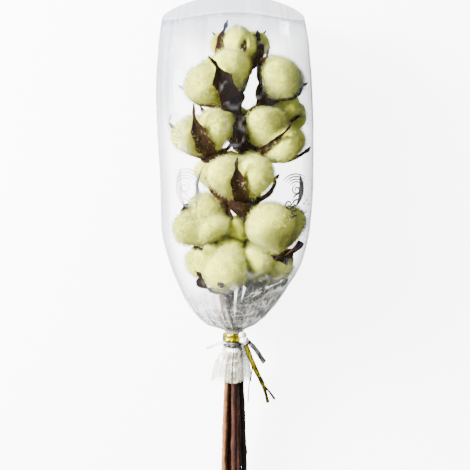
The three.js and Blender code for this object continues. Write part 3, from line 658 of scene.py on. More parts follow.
def bark_material(name, colour, dark):
    """Ridged dry bark with streaks along the stem, and pale wood where it is cut."""
    material, n, skin = shader(name)
    mask, height = grain(n, 420.0, 1400.0, 0.05)
    blotch = n.speckle(n.place((1, 0.5, 1)), 60.0, 3.0)
    streaks = n.mix(mask, colour, dark)
    worn = n.mix(n.span(blotch, 0.52, 0.7, 0.0, 0.35), streaks, toned(colour, 1.8))
    wood = n.mix(mask, (0.3, 0.2, 0.1), (0.2, 0.12, 0.06))
    n.fill(skin, {
        "Base Color": n.mix(n.number("cut"), worn, wood),
        "Roughness": n.span(mask, 0.0, 1.0, 0.62, 0.85),
        "Specular IOR Level": 0.15,
        "Normal": n.bump(height, 0.0011, 0.9),
    })
    return material


def film_material(look):
    """Clear glossy film: nearly invisible where it is smooth and seen face on, and denser
    where it is hazy, creased or seen at a low angle. Where it is crumpled, fine lines that
    fan out from the tie and run across it carry painted white highlights or painted dark
    shade; the ridges of its folds carry painted highlights and their valleys painted shade."""
    material, n, skin = shader("clear film")
    fold, haze, dusk, crumple = (n.number(name) for name in ("fold", "haze", "dusk", "crumple"))
    ridge, valley = n.span(fold, 0.15, 1.0), n.span(fold, -0.15, -1.0)
    spread = n.new("ShaderNodeUVMap", uv_map=MAP_NAME).outputs[0]
    spread = n.new("ShaderNodeMapping", {"Vector": spread, "Scale": (150.0, 11.0, 1.0)}).outputs[0]
    fan = n.speckle(spread, 1.0, 3.0, 0.5)
    cross = n.speckle(n.place(), 105.0, 2.5, 0.5)
    # Lines of painted highlight (glint) and of painted shade (gloom) where the film is crumpled.
    glint = n.times(n.most(n.line(fan, 0.5, 0.026), n.line(cross, 0.5, 0.014)), crumple)
    gloom = n.times(n.most(n.line(fan, 0.55, 0.028), n.line(cross, 0.53, 0.014)), crumple)
    colour = n.mix(n.span(haze, 0.0, 0.3), FILM_THIN, look.film)
    colour = n.mix(n.number("grey"), colour, FILM_GREY)
    colour = n.mix(dusk, colour, FILM_DUSK)
    # Painted highlight: white on the ridges of the folds and on the glint lines.
    colour = n.mix(n.most(ridge, glint), colour, (1.0, 1.0, 1.0))
    facing = n.new("ShaderNodeLayerWeight", {"Blend": 0.5}).outputs["Facing"]
    slant = n.times(n.math("POWER", facing, 4.0), 0.22)
    creases = n.times(n.plus(n.times(ridge, 0.1), n.times(valley, 0.14)), n.span(haze, 0.05, 0.3, 0.1, 1.0))
    creases = n.plus(creases, n.times(n.most(glint, gloom), 0.5))
    body = n.plus(n.plus(n.times(haze, 0.46), slant), n.times(dusk, 0.1))
    folds = n.plus(n.times(fan, 0.6), n.times(cross, 0.6))
    n.fill(skin, {
        # Painted shade: the gloom colour in the valleys of the folds and on the gloom lines.
        "Base Color": n.mix(n.most(valley, gloom), colour, FILM_GLOOM),
        "Alpha": n.plus(n.plus(creases, body), look.film_density, clamp=True),
        "Normal": n.bump(n.times(folds, crumple), 0.003, 0.8),
        "Metallic": 0.15,
        "Roughness": 0.12,
        "IOR": 1.49,
        "Specular IOR Level": 0.25,
    })
    return material


def foil_material(name, colour, dark, metallic=0.85):
    """Crinkled metal foil, with painted shade darkening its raised crinkles and the edges of its ribbons."""
    material, n, skin = shader(name)
    mask, height = grain(n, 300.0, 1500.0, 0.4)
    # Painted shade: darker where the grain raises the crinkles and along the ribbons' edges.
    shade = n.most(n.span(mask, 0.35, 0.8), n.span(n.number("edge"), 0.4, 0.85))
    n.fill(skin, {
        "Base Color": n.mix(shade, colour, dark),
        "Metallic": metallic,
        "Roughness": n.span(mask, 0.0, 1.0, 0.22, 0.45),
        "Normal": n.bump(height, 0.0006, 0.8),
    })
    return material


def shred_material():
    """A strip of clear film on edge, whitish with grey streaks."""
    material, n, skin = shader("film shred")
    mask, height = grain(n, 300.0, 1500.0, 0.3)
    n.fill(skin, {
        "Base Color": n.mix(mask, (0.85, 0.85, 0.82), (0.3, 0.31, 0.32)),
        "Alpha": n.span(mask, 0.0, 1.0, 0.3, 0.6),
        "Normal": n.bump(height, 0.0004, 0.5),
        "Roughness": 0.15,
    })
    return material


def print_material(look):
    """Grey ink on the film."""
    material, n, skin = shader("scroll print")
    mask, _ = grain(n, 200.0, 1200.0, 1.0)
    n.fill(skin, {
        "Base Color": n.mix(mask, look.ink, toned(look.ink, 1.5)),
        "Alpha": n.times(n.number("ink"), n.span(mask, 0, 1, 0.8, 1.0)),
        "Roughness": 0.5,
    })
    return material


# The bolls


class Boll:
    """A boll's base point, its axis, the two directions across it, of which face looks up,
    and the radius of the seat under its cup, with its own values from the table."""

    def __init__(self, name):
        heart, axis, self.locks, self.turn, self.size, own = BOLLS[name]
        for key, value in {**USUAL_BOLL, **own}.items():
            setattr(self, key, value)
        self.name = name
        self.heart = np.array(heart, float)
        self.axis = unit(axis)
        self.base = self.heart - self.axis * HEART * self.size
        self.face = unit(np.array([0, 0, 1.0]) - self.axis * self.axis[2])
        self.side = np.cross(self.axis, self.face)
        self.seat = CUP_SEAT + SEAT_GROWS * (self.floor - CUP_FLOOR)
        self.seed = ord(name)

    def away(self, degrees):
        """The direction away from the axis at an angle from the upper side."""
        t = np.radians(degrees)
        return np.cos(t)[..., None] * self.face + np.sin(t)[..., None] * self.side

    def into_cup(self):
        """The last two points of a stick that ends in the cup."""
        back = (self.floor + 7.4, self.floor + GAP / self.size)
        return [self.base - self.axis * b * self.size for b in back]

    def blades(self):
        """The orders of the valves that it has, with their angles."""
        orders = [k for k in range(self.locks) if k not in self.gone]
        return [(k, self.turn + 360 * (k + 0.5) / self.locks) for k in orders]


def film_row(y):
    """The film section's half widths, heights and roundness at a distance y."""
    return np.moveaxis(through(SLEEVE_Y, SLEEVE, y), -1, 0)


def room_at(point, spare):
    """Whether a point is inside the film, by straight lines between the rows, with this
    much room to spare."""
    x, y, z = point
    left, right, top, bottom, square = (np.interp(y, SLEEVE_Y, SLEEVE[:, k]) for k in range(5))
    half = (left if x < 0 else right) - spare
    tall = (top - bottom) / 2 - spare
    up = z - (top + bottom) / 2
    return y < SLEEVE_Y[-1] and abs(x / half) ** square + abs(up / tall) ** square < 1 and z > spare


def valve_spine(boll, degrees, order):
    """A valve's rows: its centre points, bent in where the film is near, and the rows'
    half widths and flares. The square of the height is the share of a tip's swing and
    closing that a row takes."""
    own = {**USUAL_VALVE, **boll.valves.get(order, {})}
    long = own["long"] * (1 + 0.07 * np.sin(2.4 * order + 5 * boll.size))
    rows = BROKEN if order in boll.short else VALVE
    points = []
    for row in rows:
        share = (row[1] / VALVE[-1, 1]) ** 2
        out = boll.away(np.array(degrees + own["turn"] + own["swing"] * share))
        far = row[0] * boll.size * boll.open * (1 + (own["close"] - 1) * share)
        reach = 1.0
        while True:
            point = boll.base + out * far * reach + boll.axis * row[1] * boll.size * long
            if reach <= NARROW or room_at(point, VALVE_ROOM):
                break
            reach -= 0.02
        points.append(point)
    return np.array(points), rows[:, 2] * boll.size * boll.open * own["wide"], rows[:, 3] * boll.size


def loose_reach(boll, degrees, polar):
    """How far the loose cotton reaches from the heart: the soft greatest of an ellipsoid
    core and the locks, ellipsoids round points off the axis that all hold the heart."""
    three = boll.locks == 3
    out, up = np.sin(polar), -np.cos(polar)
    reaches = [1 / np.hypot(out / CORE_WIDE, up / CORE_UP)]
    shift = (THIRD_OUT if three else LOCK_OUT) / LOCK_RADIAL
    for k in range(boll.locks):
        turn = np.radians(degrees - boll.turn - 360 * k / boll.locks)
        x = out * np.cos(turn) / LOCK_RADIAL
        y = out * np.sin(turn) / (THIRD_SIDE if three else LOCK_SIDE)
        z = up / LOCK_UP
        a = x * x + y * y + z * z
        b = x * shift
        far = (b + np.sqrt(np.maximum(b * b - a * (shift * shift - 1), 0))) / a
        reaches.append(far * np.sqrt(boll.first) ** (1 if k == 0 else -1))
    sharp = 22.0
    return np.sum(np.array(reaches) ** sharp, axis=0) ** (1 / sharp) * boll.size


def in_parts(work, directions):
    """What work gives for each direction, worked out for some at a time."""
    starts = range(0, len(directions), AT_A_TIME)
    return np.concatenate([work(directions[start : start + AT_A_TIME]) for start in starts])


def solid_reach(node, heart, directions):
    """The distance from the heart to the last face of a solid of the frame along each
    direction, by the crossing of every ray with every triangle."""
    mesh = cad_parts[node].data
    mesh.calc_loop_triangles()
    corners = np.empty(len(mesh.loop_triangles) * 3, np.int32)
    mesh.loop_triangles.foreach_get("vertices", corners)
    points = np.empty(len(mesh.vertices) * 3, np.float32)
    mesh.vertices.foreach_get("co", points)
    points = (points.reshape(-1, 3) - ORIGIN) / MM - heart
    a, b, c = (points[corners.reshape(-1, 3)[:, k]] for k in range(3))
    ab, ac = b - a, c - a
    cross = np.cross(ab, ac)
    level = np.sum(a * cross, axis=1)
    q, r = np.cross(ac, a), np.cross(a, ab)

    def last_face(ray):
        facing = ray @ cross.T
        facing = np.where(np.abs(facing) < 1e-9, 1e-9, facing)
        ratio, u, v = level / facing, (ray @ q.T) / facing, (ray @ r.T) / facing
        inside = (u >= -1e-6) & (v >= -1e-6) & (u + v <= 1 + 1e-6) & (ratio > 0)
        return np.where(inside, ratio, 0).max(axis=1)

    return in_parts(last_face, directions)


def under_blades(boll, directions):
    """How far the cotton may reach from its heart before it meets a valve of its own or of
    a boll near by: the distance of the valve point that lies closest to each direction,
    where that is nearer than the points of a valve stand apart."""
    points = []
    for name in BOLLS:
        other = Boll(name)
        if np.linalg.norm(other.heart - boll.heart) < NEAR_BOLL:
            points += [blade(other, *one)[0].reshape(-1, 3) for one in other.blades()]
    points = np.concatenate(points) - boll.heart
    away = np.linalg.norm(points, axis=1)
    ways = (points / away[:, None]).astype(np.float32)

    def nearest(ray):
        likeness = ray.astype(np.float32) @ ways.T
        return np.where(likeness > 1 - 0.5 * (POINTS_APART / away) ** 2, away, FAR).min(axis=1)

    return in_parts(nearest, directions)


def smoothed(values, passes):
    """A grid blurred over its neighbours, wrapped round its rows."""
    for _ in range(passes):
        values = (np.roll(values, 1, 1) + 2 * values + np.roll(values, -1, 1)) / 4
        padded = np.vstack([values[:1], values, values[-1:]])
        values = (padded[:-2] + 2 * padded[1:-1] + padded[2:]) / 4
    return values


def lint_surface(boll, rings, columns):
    """The cotton as a star-shaped surface round its heart: the loose form, held back
    softly by the solid that it fills, then raised and sunk by layered noise. It returns
    the rings and how deep in a crease or how low at the foot each point lies, which the
    cotton's material paints as shade."""
    polar = np.linspace(0, np.pi, rings + 2)[1:-1]
    degrees = np.linspace(0, 360, columns, endpoint=False)
    polar, degrees = np.meshgrid(polar, degrees, indexing="ij")
    reach = loose_reach(boll, degrees, polar)
    up = -np.cos(polar) * reach
    lock = LOCK_UP * boll.size
    draw = LOCK_FOOT + (1 - LOCK_FOOT) * rise(-lock, 0.15 * lock, up)
    step = boll.away(degrees) * (np.sin(polar) * reach * draw)[..., None]
    step = step + boll.axis * up[..., None]
    length = np.linalg.norm(step, axis=-1)
    direction = step / length[..., None]
    solid = solid_reach(f"boll_{boll.name}_lint", boll.heart, direction.reshape(-1, 3))
    solid = smoothed(solid.reshape(length.shape), 4) + 0.6
    mix = np.clip(0.5 + (solid - length) / (2 * SOFT), 0, 1)
    held = solid * (1 - mix) + length * mix - SOFT * mix * (1 - mix)
    held = smoothed(held, 2)
    free = under_blades(boll, direction.reshape(-1, 3)).reshape(length.shape) - BLADE_ROOM
    held = smoothed(np.minimum(held, free), 1)
    spot = boll.heart + direction * held[..., None]
    puff = layered(spot, 12.0, boll.seed) * 1.3 + layered(spot, 4.0, boll.seed + 9) * 0.5
    # The crease number is the mask of painted shade: hollows below the broad form and the low foot of the
    # boll, where shadow falls.
    broad = smoothed(held, 14)
    hollow = np.clip((broad - held) / CREASE_DEEP, 0, 1)
    foot = 1 - rise(-0.9 * lock, -0.1 * lock, up)
    crease = np.clip(0.9 * hollow + 0.75 * foot, 0, 1)
    held = np.minimum(held + puff * (1 - 0.5 * crease) - 0.35, free)
    return boll.heart + direction * held[..., None], crease


def normals_of(points):
    """Unit normals of a grid that is wrapped round its rows, away from its middle."""
    around = np.roll(points, -1, 1) - np.roll(points, 1, 1)
    normal = unit(np.cross(around, np.gradient(points, axis=0)))
    outward = np.sum(normal * (points - points.mean(axis=(0, 1))), axis=-1).mean() > 0
    return normal if outward else -normal


def rooted(surface, count, draw):
    """Random places on the cotton, chosen evenly by area where it doesn't face the table,
    and the surface's normals there."""
    normal = normals_of(surface)
    area = np.cross(np.roll(surface, -1, 1) - surface, np.gradient(surface, axis=0))
    area = (np.linalg.norm(area, axis=-1) * (normal[..., 2] > -0.45)).ravel()
    pick = draw.choice(len(area), size=count, p=area / area.sum())
    return pick, surface.reshape(-1, 3)[pick], normal.reshape(-1, 3)[pick]


THIRDS = (0, 2.1, 4.2)  # a strand's three sides, as angles round it
SPOT = np.array([[0, 0], [1, 0], [1, 1], [0, 1]]) * FIBRE_SPOT


def fibres(skin, surface, crease, count, longest, seed):
    """Loose fibres on the cotton: spindles of a sunk root, a ring of three points and a
    tip, which bend over at the ring."""
    draw = np.random.default_rng(seed)
    pick, root, up = rooted(surface, count, draw)
    lean = unit(draw.normal(size=(count, 3)))
    lean = unit(lean - up * np.sum(lean * up, axis=1, keepdims=True))
    long = longest * draw.uniform(0.2, 1.0, (count, 1)) ** 1.5
    wide = draw.uniform(0.08, 0.17, (count, 1))
    start = root - up * 0.4
    middle = start + unit(up + lean * draw.uniform(0.2, 1.4, (count, 1))) * (0.4 + long * 0.5)
    tip = middle + unit(up * 0.35 + lean + draw.normal(size=(count, 3)) * 0.4) * long * 0.65
    other = np.cross(up, lean)
    ring = [middle + (lean * np.cos(t) + other * np.sin(t)) * wide for t in THIRDS]
    points = np.stack([start, *ring, tip], axis=1)
    each = points.shape[1]
    first = np.arange(count)[:, None] * each
    faces = []
    for k in range(3):
        n = (k + 1) % 3
        faces += [first + [0, 1 + n, 1 + k], first + [4, 1 + k, 1 + n]]
    at = draw.uniform(0.02, 0.98, (count, 2))
    spot = np.tile(at, (len(faces), 1))[:, None] + SPOT[:3]
    # The fibres take the painted crease shade of the place where they root.
    deep = np.repeat(crease.ravel()[pick] * 0.7, each)
    skin.add(points, [(np.concatenate(faces), spot)], crease=deep)


def wisps(skin, surface, crease, count, longest, seed):
    """Long curled wisps that hug the cotton: three-sided strands of four rings and two
    points. Each sets out along the surface from a random place and turns a little in the
    surface at every step, while it rises off it by an arch with both ends under it."""
    draw = np.random.default_rng(seed)
    pick, here, over = rooted(surface, count, draw)
    middle = surface.mean(axis=(0, 1))
    way = unit(np.cross(over, draw.normal(size=(count, 3))))
    stride = longest * draw.uniform(0.35, 1.0, (count, 1)) / 5
    arch = draw.uniform(0.1, 1.5, (count, 1)) ** 1.5
    curl = draw.normal(size=(count, 1)) * 0.7
    wide = draw.uniform(0.05, 0.09, (count, 1))
    rings = []
    for step in range(6):
        lift = arch * np.sin(np.pi * step / 5) - 0.25
        rings.append((here + over * lift, way, over))
        way = unit(way + np.cross(over, way) * curl)
        ahead = here + way * stride
        out = unit(ahead - middle)
        way = unit(way - out * np.sum(way * over, axis=1, keepdims=True) * 0.5)
        here = ahead - over * np.sum((ahead - here) * over, axis=1, keepdims=True)
        here = here - over * (stride**2 / 44)
        over = unit(over + out * 0.35)
    points = [rings[0][0][:, None]]
    for (place, along, outward), share in zip(rings[1:5], (0.8, 1, 1, 0.7)):
        other = np.cross(along, outward)
        corner = [outward * np.cos(t) + other * np.sin(t) for t in THIRDS]
        points.append(np.stack([place + c * wide * share for c in corner], axis=1))
    points = np.concatenate([*points, rings[5][0][:, None]], axis=1)
    each = points.shape[1]
    first = np.arange(count)[:, None] * each
    quads, thirds = [], []
    for k in range(3):
        n = (k + 1) % 3
        thirds += [first + [0, 1 + n, 1 + k], first + [13, 10 + k, 10 + n]]
        quads += [first + [1 + k + 3 * i, 1 + n + 3 * i, 4 + n + 3 * i, 4 + k + 3 * i] for i in range(3)]
    at = draw.uniform(0.02, 0.98, (count, 2))
    parts = [
        (np.concatenate(faces), np.tile(at, (len(faces), 1))[:, None] + SPOT[: faces[0].shape[1]])
        for faces in (quads, thirds)
    ]
    # The wisps take the painted crease shade of the place where they root.
    skin.add(points, parts, crease=np.repeat(crease.ravel()[pick] * 0.7, each))


def colour(name, description, default):
    """A colour that a user can change."""
    return FloatVectorProperty(name=name, description=description, subtype="COLOR", default=default)


class CottonLooks(bpy.types.PropertyGroup):
    """Sizes and colours of the bunch."""

    lint: colour("Lint", "Colour of the cotton", (0.66, 0.69, 0.07))
    lint_warm: colour("Lint patches", "Colour of the cotton where it is yellower", (0.5, 0.52, 0.02))
    # lint_shade is painted shade: the colour that the cotton turns to in its creases and at its foot.
    lint_shade: colour("Lint in creases", "Colour of the cotton where it is deep", (0.15, 0.15, 0.006))
    husk: colour("Husk", "Colour of the husk's outer face", (0.022, 0.008, 0.0024))
    husk_warm: colour("Husk foot", "Colour of the husk near its foot", (0.055, 0.015, 0.0042))
    husk_tan: colour("Husk inside", "Colour of the husk's inner face", (0.15, 0.065, 0.016))
    film: colour("Film", "Tint of the film", (0.045, 0.07, 0.12))
    ink: colour("Ink", "Colour of the printed scrolls", (0.02, 0.02, 0.022))
    film_density: FloatProperty(
        name="Film density", description="How much the smooth film hides", default=0.05,
        min=0.0, max=1.0, subtype="FACTOR",
    )
    fibre_length: FloatProperty(
        name="Fibre length", description="Longest loose fibre, in millimetres", default=5.3,
        min=0.2, max=8.0,
    )
    wisp_length: FloatProperty(
        name="Wisp length", description="Longest curled wisp, in millimetres", default=11.0,
        min=1.0, max=30.0,
    )
    fibre_count: IntProperty(
        name="Fibres", description="Loose fibres on each boll", default=5200, min=0, max=9000
    )


def looks():
    """The bunch's sizes and colours as they are set in the scene."""
    return bpy.context.scene.cotton_looks


class COTTON_OT_lint(bpy.types.Operator):
    """Makes the cotton of every boll"""

    bl_idname = "cotton.lint"
    bl_label = "Lint"

    def execute(self, context):
        look = looks()
        material = lint_material(look)
        for name in BOLLS:
            boll = Boll(name)
            skin = Skin()
            surface, crease = lint_surface(boll, *LINT_GRID)
            skin.tube(surface, crease=crease)
            count = look.fibre_count // (HIDDEN_SHARE if name in HIDDEN else 1)
            if count:
                fibres(skin, surface, crease, count, look.fibre_length, boll.seed)
                wisps(skin, surface, crease, count // FIBRES_A_WISP, look.wisp_length, boll.seed + 1)
            skin.object(f"boll_{name}_cotton", material, [f"boll_{name}_lint"])
            if name == SPECK_ON:
                self.speck(surface)
        return {"FINISHED"}

    def speck(self, surface):
        """A chip of seed coat caught in the cotton: a small lumpy lens at the highest
        point of the surface near its place."""
        points = surface.reshape(-1, 3)
        near = points[np.hypot(*(points[:, :2] - SPECK_AT).T) < 1.6]
        way = sphere(12, 20)
        lump = way * [3.0, 2.7, 1.3] * (1 + 0.3 * noise(way, 0.8, 3))[..., None]
        skin = Skin()
        skin.tube(near[near[:, 2].argmax()] + lump, along=0.5, edge=0.0, inside=0.0)
        skin.object("seed_speck", husk_material(looks()))


def blade(boll, order, degrees):
    """The middle face of a valve: a blade whose width, flare and centre line run smoothly
    through its rows and which faces away from the heart. Across it, the edge lifts by the
    square of the distance from the middle, and ribs and wrinkles raise it. It gives the
    grid, the way it faces, its half thickness, and the place along and across it."""
    rows, half, flare = valve_spine(boll, degrees, order)
    broken = order in boll.short
    seed = boll.seed * 7 + order
    knots = np.arange(len(rows))
    s = np.linspace(0, len(rows) - 1, BROKEN_ROWS if broken else BLADE_ROWS)
    t = np.linspace(-1, 1, BLADE_COLUMNS)[None]
    share = s / s[-1]
    hand = 1 if (order + boll.seed) % 2 else -1
    line = through(knots, rows, s)
    wide = through(knots, np.stack([half, flare], axis=1), s)
    along = unit(np.gradient(line, axis=0))
    lift = line - boll.heart
    lift = unit(lift - along * np.sum(lift * along, axis=1, keepdims=True))
    side = np.cross(along, lift)
    if not broken:
        hook = rise(0.66, 1.0, share)[:, None] ** 2
        line = line + (side * hand * 1.7 + lift * 1.3) * hook * boll.size
        twist = (np.radians(65) * hand * rise(0.62, 1.0, share))[:, None]
        side, lift = turned(side, lift, twist)
    share = share[:, None]
    key = np.stack(np.broadcast_arrays(share * 9, t * 2.5, seed * 1.7), axis=-1)
    margin = 1 + 0.2 * noise(np.stack([s * 2.2, s * 0 + seed, s * 0], axis=1), 1.0, seed)[:, None]
    margin = margin - 0.12 * np.abs(noise(key * [2.6, 0.4, 1], 1.0, seed + 4)) * t**2
    if broken:
        margin = margin * (1 - 0.45 * np.abs(noise(key * [0.1, 3, 1], 1.0, seed + 3)))
    ribs = 0.2 * np.sin(np.abs(t) * 15 + 3 * share) - 0.4 * bell(t, 0, 0.1)
    wrinkle = 0.5 * noise(key, 1.0, seed) + 0.34 * (creased(key * 2.3, 1.0, seed + 1) ** 3 - 0.4)
    rolled = 0.7 * rise(0.78, 1.0, np.abs(t)) * rise(0, 0.2, share)
    height = wide[:, 1:] * t**2 + (ribs * (1 - share) + wrinkle + rolled) * boll.size
    belly = 1 + 0.2 * bell(share, 0.52, 0.14) - 0.45 * bell(share, 0.76, 0.07)
    knob = 0.9 * boll.size * bell(share, 0.87, 0.05)
    spread = t * wide[:, :1] * margin if broken else t * (wide[:, :1] * margin * belly + knob)
    middle = line[:, None] + side[:, None] * spread[..., None] + lift[:, None] * height[..., None]
    thick = (0.62 - 0.3 * share) * (1 - 0.68 * np.abs(t) ** 3) * boll.size
    return middle, lift[:, None], thick[..., None], share, t


def valve(skin, boll, order, degrees):
    """A valve's two faces, thickest at its foot and thin at its edges."""
    middle, lift, thick, share, t = blade(boll, order, degrees)
    front, back = middle + lift * thick, middle - lift * thick
    skin.wall(front, back, along=share, edge=np.abs(t), inside=(0.0, 1.0))


def cup(skin, boll):
    """The husk's cup: a profile turned round the axis, with shallow ridges."""
    (rim, top), low = CUP_RIM, boll.floor
    waist = [(boll.seat + rim) / 2 + 0.6, (top - low) / 2]
    profile = [[0.6, -low], [boll.seat, 0.4 - low], waist, [rim, top], [rim - 1.2, 5.4], [4, CUP_TOP]]
    rows = through(np.arange(len(profile)), np.array(profile) * boll.size, np.linspace(0, 5, 16))
    degrees = np.linspace(0, 360, 36, endpoint=False)
    ridge = 1 + 0.05 * np.cos(np.radians(degrees) * boll.locks * 2) * rise(0, 5, rows[:, :1])
    around = boll.away(degrees)[None]
    rings = boll.base + around * (rows[:, :1] * ridge)[..., None] + boll.axis * rows[:, 1:, None]
    rings = rings + noise(rings, 2.4, boll.seed)[..., None] * around * 0.3
    ends = [boll.base + boll.axis * rows[i, 1] for i in (0, -1)]
    skin.tube(rings, ends, along=0.7, edge=0.0, inside=0.0)


def calyx(skin, boll):
    """The dry calyx that wraps the cup's foot: a thin flared collar with a ragged rim.
    Its profile runs up the axis and out, and three broad and many small teeth stretch
    it towards the rim."""
    big = CALYX_SIZE.get(boll.name, 1.0) * boll.size
    low = boll.floor / big * boll.size
    foot = [[2.7, -low - 7], [3.6, -low - 4.5], [boll.seat + 1.4, -low - 0.8]]
    profile = np.array([*foot, [11.6, 0.2], [12.3, 3.8]])
    share = np.linspace(0, 1, 16)
    rows = through(np.linspace(0, 1, len(profile)), profile, share) * big
    degrees = np.linspace(0, 360, 48, endpoint=False)
    t = np.radians(degrees)
    teeth = 1.2 * np.cos(3 * t + boll.seed) + 0.6 * np.cos(11 * t + 2 * boll.seed)
    fluted = 0.25 * np.cos(13 * t + boll.seed)[None] * share[:, None]
    around = boll.away(degrees)[None]
    up = rows[:, 1:] + teeth * share[:, None] ** 2 * big
    middle = boll.base + around * (rows[:, :1] + fluted)[..., None] + boll.axis * up[..., None]
    middle = middle + noise(middle, 3.0, boll.seed)[..., None] * around * 0.8 * share[:, None, None]
    outer, inner = middle + around * 0.25, middle - around * 0.25
    skin.wall(outer, inner, wrap=True, along=0.7, edge=0.84 * share[:, None], inside=(0.0, 1.0))


class COTTON_OT_husks(bpy.types.Operator):
    """Makes the calyx, the cup and the valves of every boll"""

    bl_idname = "cotton.husks"
    bl_label = "Husks"

    def execute(self, context):
        material = husk_material(looks())
        for name in BOLLS:
            boll = Boll(name)
            skin = Skin()
            cup(skin, boll)
            calyx(skin, boll)
            for order, degrees in boll.blades():
                valve(skin, boll, order, degrees)
            skin.object(f"boll_{name}_husk", material, [f"boll_{name}_burr"])
        return {"FINISHED"}


# The stems


def bundle_point(ring, y):
    """Where a stalk stands in the tied bundle."""
    t = np.radians(ring)
    return np.array([NECK_RING * np.cos(t), y, NECK_Z + NECK_RING * np.sin(t)])


def stick(skin, line, radius, sides, seed, cut):
    """A round stick along a line: rings of a radius that layered noise roughens, with
    grooves along it. cut marks its first ring as sawn wood."""
    _, side, other = across(line, SIDEWAYS)
    way = spokes(side, other, full_turn(sides))
    spot = line[:, None] * [1, 0.16, 1] + way * 2.2
    rough = 0.16 * layered(spot, 2.2, seed) + 0.1 * noise(line[:, None] + way * 2, 1.6, seed + 5)
    rings = line[:, None] + way * (radius[:, None] * (1 + rough))[..., None]
    sawn = np.zeros(rings.shape[:2])
    if cut:
        rings = np.concatenate([rings[:1] * 0.999 + line[:1, None] * 0.001, rings])
        rings[0] = line[0] + way[0] * (radius[0] * 0.93)
        sawn = np.vstack([np.ones((1, sides)), sawn])
    skin.tube(rings, [line[0], line[-1]], cut=sawn)


def nubs(skin, line, radius, places, seed):
    """Small buds and broken spurs on a stalk: blunt cones that stand off its side."""
    draw = np.random.default_rng(seed)
    along, side, other = across(line, SIDEWAYS)
    turn = full_turn(10)
    sizes = [[0.0, 1.3], [0.5, 1.05], [0.85, 0.6], [1.0, 0.25]]
    for share in places:
        i = int(share * (len(line) - 1))
        t = draw.uniform(0, 2 * np.pi)
        way = side[i] * np.cos(t) + other[i] * np.sin(t)
        root = line[i] + way * radius[i] * 0.6
        tall = draw.uniform(1.3, 2.2)
        flat = along[i] * np.cos(turn)[:, None] + np.cross(way, along[i]) * np.sin(turn)[:, None]
        rings = [root + (way + along[i] * 0.5) * tall * up + flat * wide for up, wide in sizes]
        skin.tube(np.array(rings), [root, root + (way + along[i] * 0.5) * tall], cut=0.0)


def stalk_line(number):
    """A stalk's route from its cut end through the neck and the head to its boll."""
    ring, cut, way, top, _ = STEMS[number]
    cut = np.array(cut, float)
    tied = bundle_point(ring, -9)
    bow = (bundle_point(ring, 0) - [0, 0, NECK_Z]) * STALK_BOW / NECK_RING
    below = [cut, cut + (tied - cut) * 0.36 + bow, cut + (tied - cut) * 0.74 + bow, tied]
    return route([*below, bundle_point(ring, 4), *way, *Boll(top).into_cup()], 1.7)


# The bark's colour and its dark streaks on each stem
STEM_TINTS = {
    1: ((0.055, 0.014, 0.004), (0.005, 0.0016, 0.0008)),
    2: ((0.22, 0.095, 0.034), (0.035, 0.013, 0.0045)),
    3: ((0.01, 0.0035, 0.0018), (0.003, 0.0012, 0.0008)),
    4: ((0.028, 0.007, 0.003), (0.006, 0.002, 0.001)),
    5: ((0.035, 0.01, 0.0036), (0.003, 0.001, 0.0006)),
}


class COTTON_OT_stems(bpy.types.Operator):
    """Makes the stalks with their side twigs"""

    bl_idname = "cotton.stems"
    bl_label = "Stems"

    def execute(self, context):
        for number, (ring, cut, _, _, twigs) in STEMS.items():
            material = bark_material(f"bark {number}", *STEM_TINTS[number])
            skin = Skin()
            line, along = stalk_line(number)
            slim = STALK_CUT + (STALK_TOP - STALK_CUT) * along / along[-1]
            scar = np.cos(2 * np.pi * (along - 30 - ring / 9) / KNUCKLE_EVERY)
            free = np.abs(along + cut[1]) >= KNUCKLE_FREE
            radius = slim * (1 + free * KNUCKLE * np.maximum(0, scar) ** 12)
            stick(skin, line, radius, 16, number, True)
            nubs(skin, line, radius, np.array([0.07, 0.13, 0.24, 0.33]) + 0.013 * number, number)
            for order, (leaves, way, boll) in enumerate(twigs):
                start = line[np.argmin(np.abs(line[:, 1] - leaves))]
                twig, reach = route([start, *way, *Boll(boll).into_cup()], 1.8)
                thin = TWIG * (1.12 - 0.12 * reach / reach[-1])
                stick(skin, twig, thin, 12, number * 10 + order, False)
            skin.object(f"stalk_{number}", material, [f"stem_{number}"])
        return {"FINISHED"}


# The film sleeve


def film_wrinkle(turn, y):
    """How far the film stands off its smooth form: pleats that fan out from the tie,
    a few long folds that run with the sleeve, soft billows and, low on the right,
    crumples. Pleats are triangle waves round the section whose places noise shifts, and
    folds and crumples are the lines where smooth noise crosses zero."""
    circle = wrapped(turn, 3, y * 0.012)
    shift = 1.6 * noise(circle, 1.0, 3) + 0.5 * noise(circle * 3, 1.0, 4)
    wave = np.abs(((turn * 13 + shift * 3) / (2 * np.pi)) % 1 - 0.5) * 2
    fine = np.abs(((turn * 29 + shift * 5 + 1) / (2 * np.pi)) % 1 - 0.5) * 2
    above = rise(5, 10, y) * (1 - rise(14, 46, y))
    below = rise(-7, -14, y)
    pleats = (wave**0.7 - 0.5) * (1.2 * above + 0.4 * below) + (fine - 0.5) * (0.6 * above + 0.3 * below)
    billow = noise(wrapped(turn, 1.6, y / 60), 1.0, 11)
    run = wrapped(turn, 4, y / 210)
    long = creased(run, 1.0, 21) ** 12 * rise(0.0, 0.5, noise(run * 0.7, 1.0, 24))
    spot = film_point(turn, y)
    crumple = creased(spot, 17.0, 31) ** 6 + 0.7 * creased(spot, 8.0, 32) ** 5
    facets = noise(spot, 9.0, 35)
    right = bell(turn, 0.85, 0.6) * bell(y, 36, 25)
    neck = bell(y, 16, 16) * rise(6, 12, y) + below
    body = rise(8, 40, y)
    folds = 0.9 * billow * body + 0.5 * long * body
    crumple = crumple * (0.1 * body + 0.6 * right + 0.4 * neck)
    return pleats + folds + crumple + facets * (1.5 * right + 0.8 * neck)


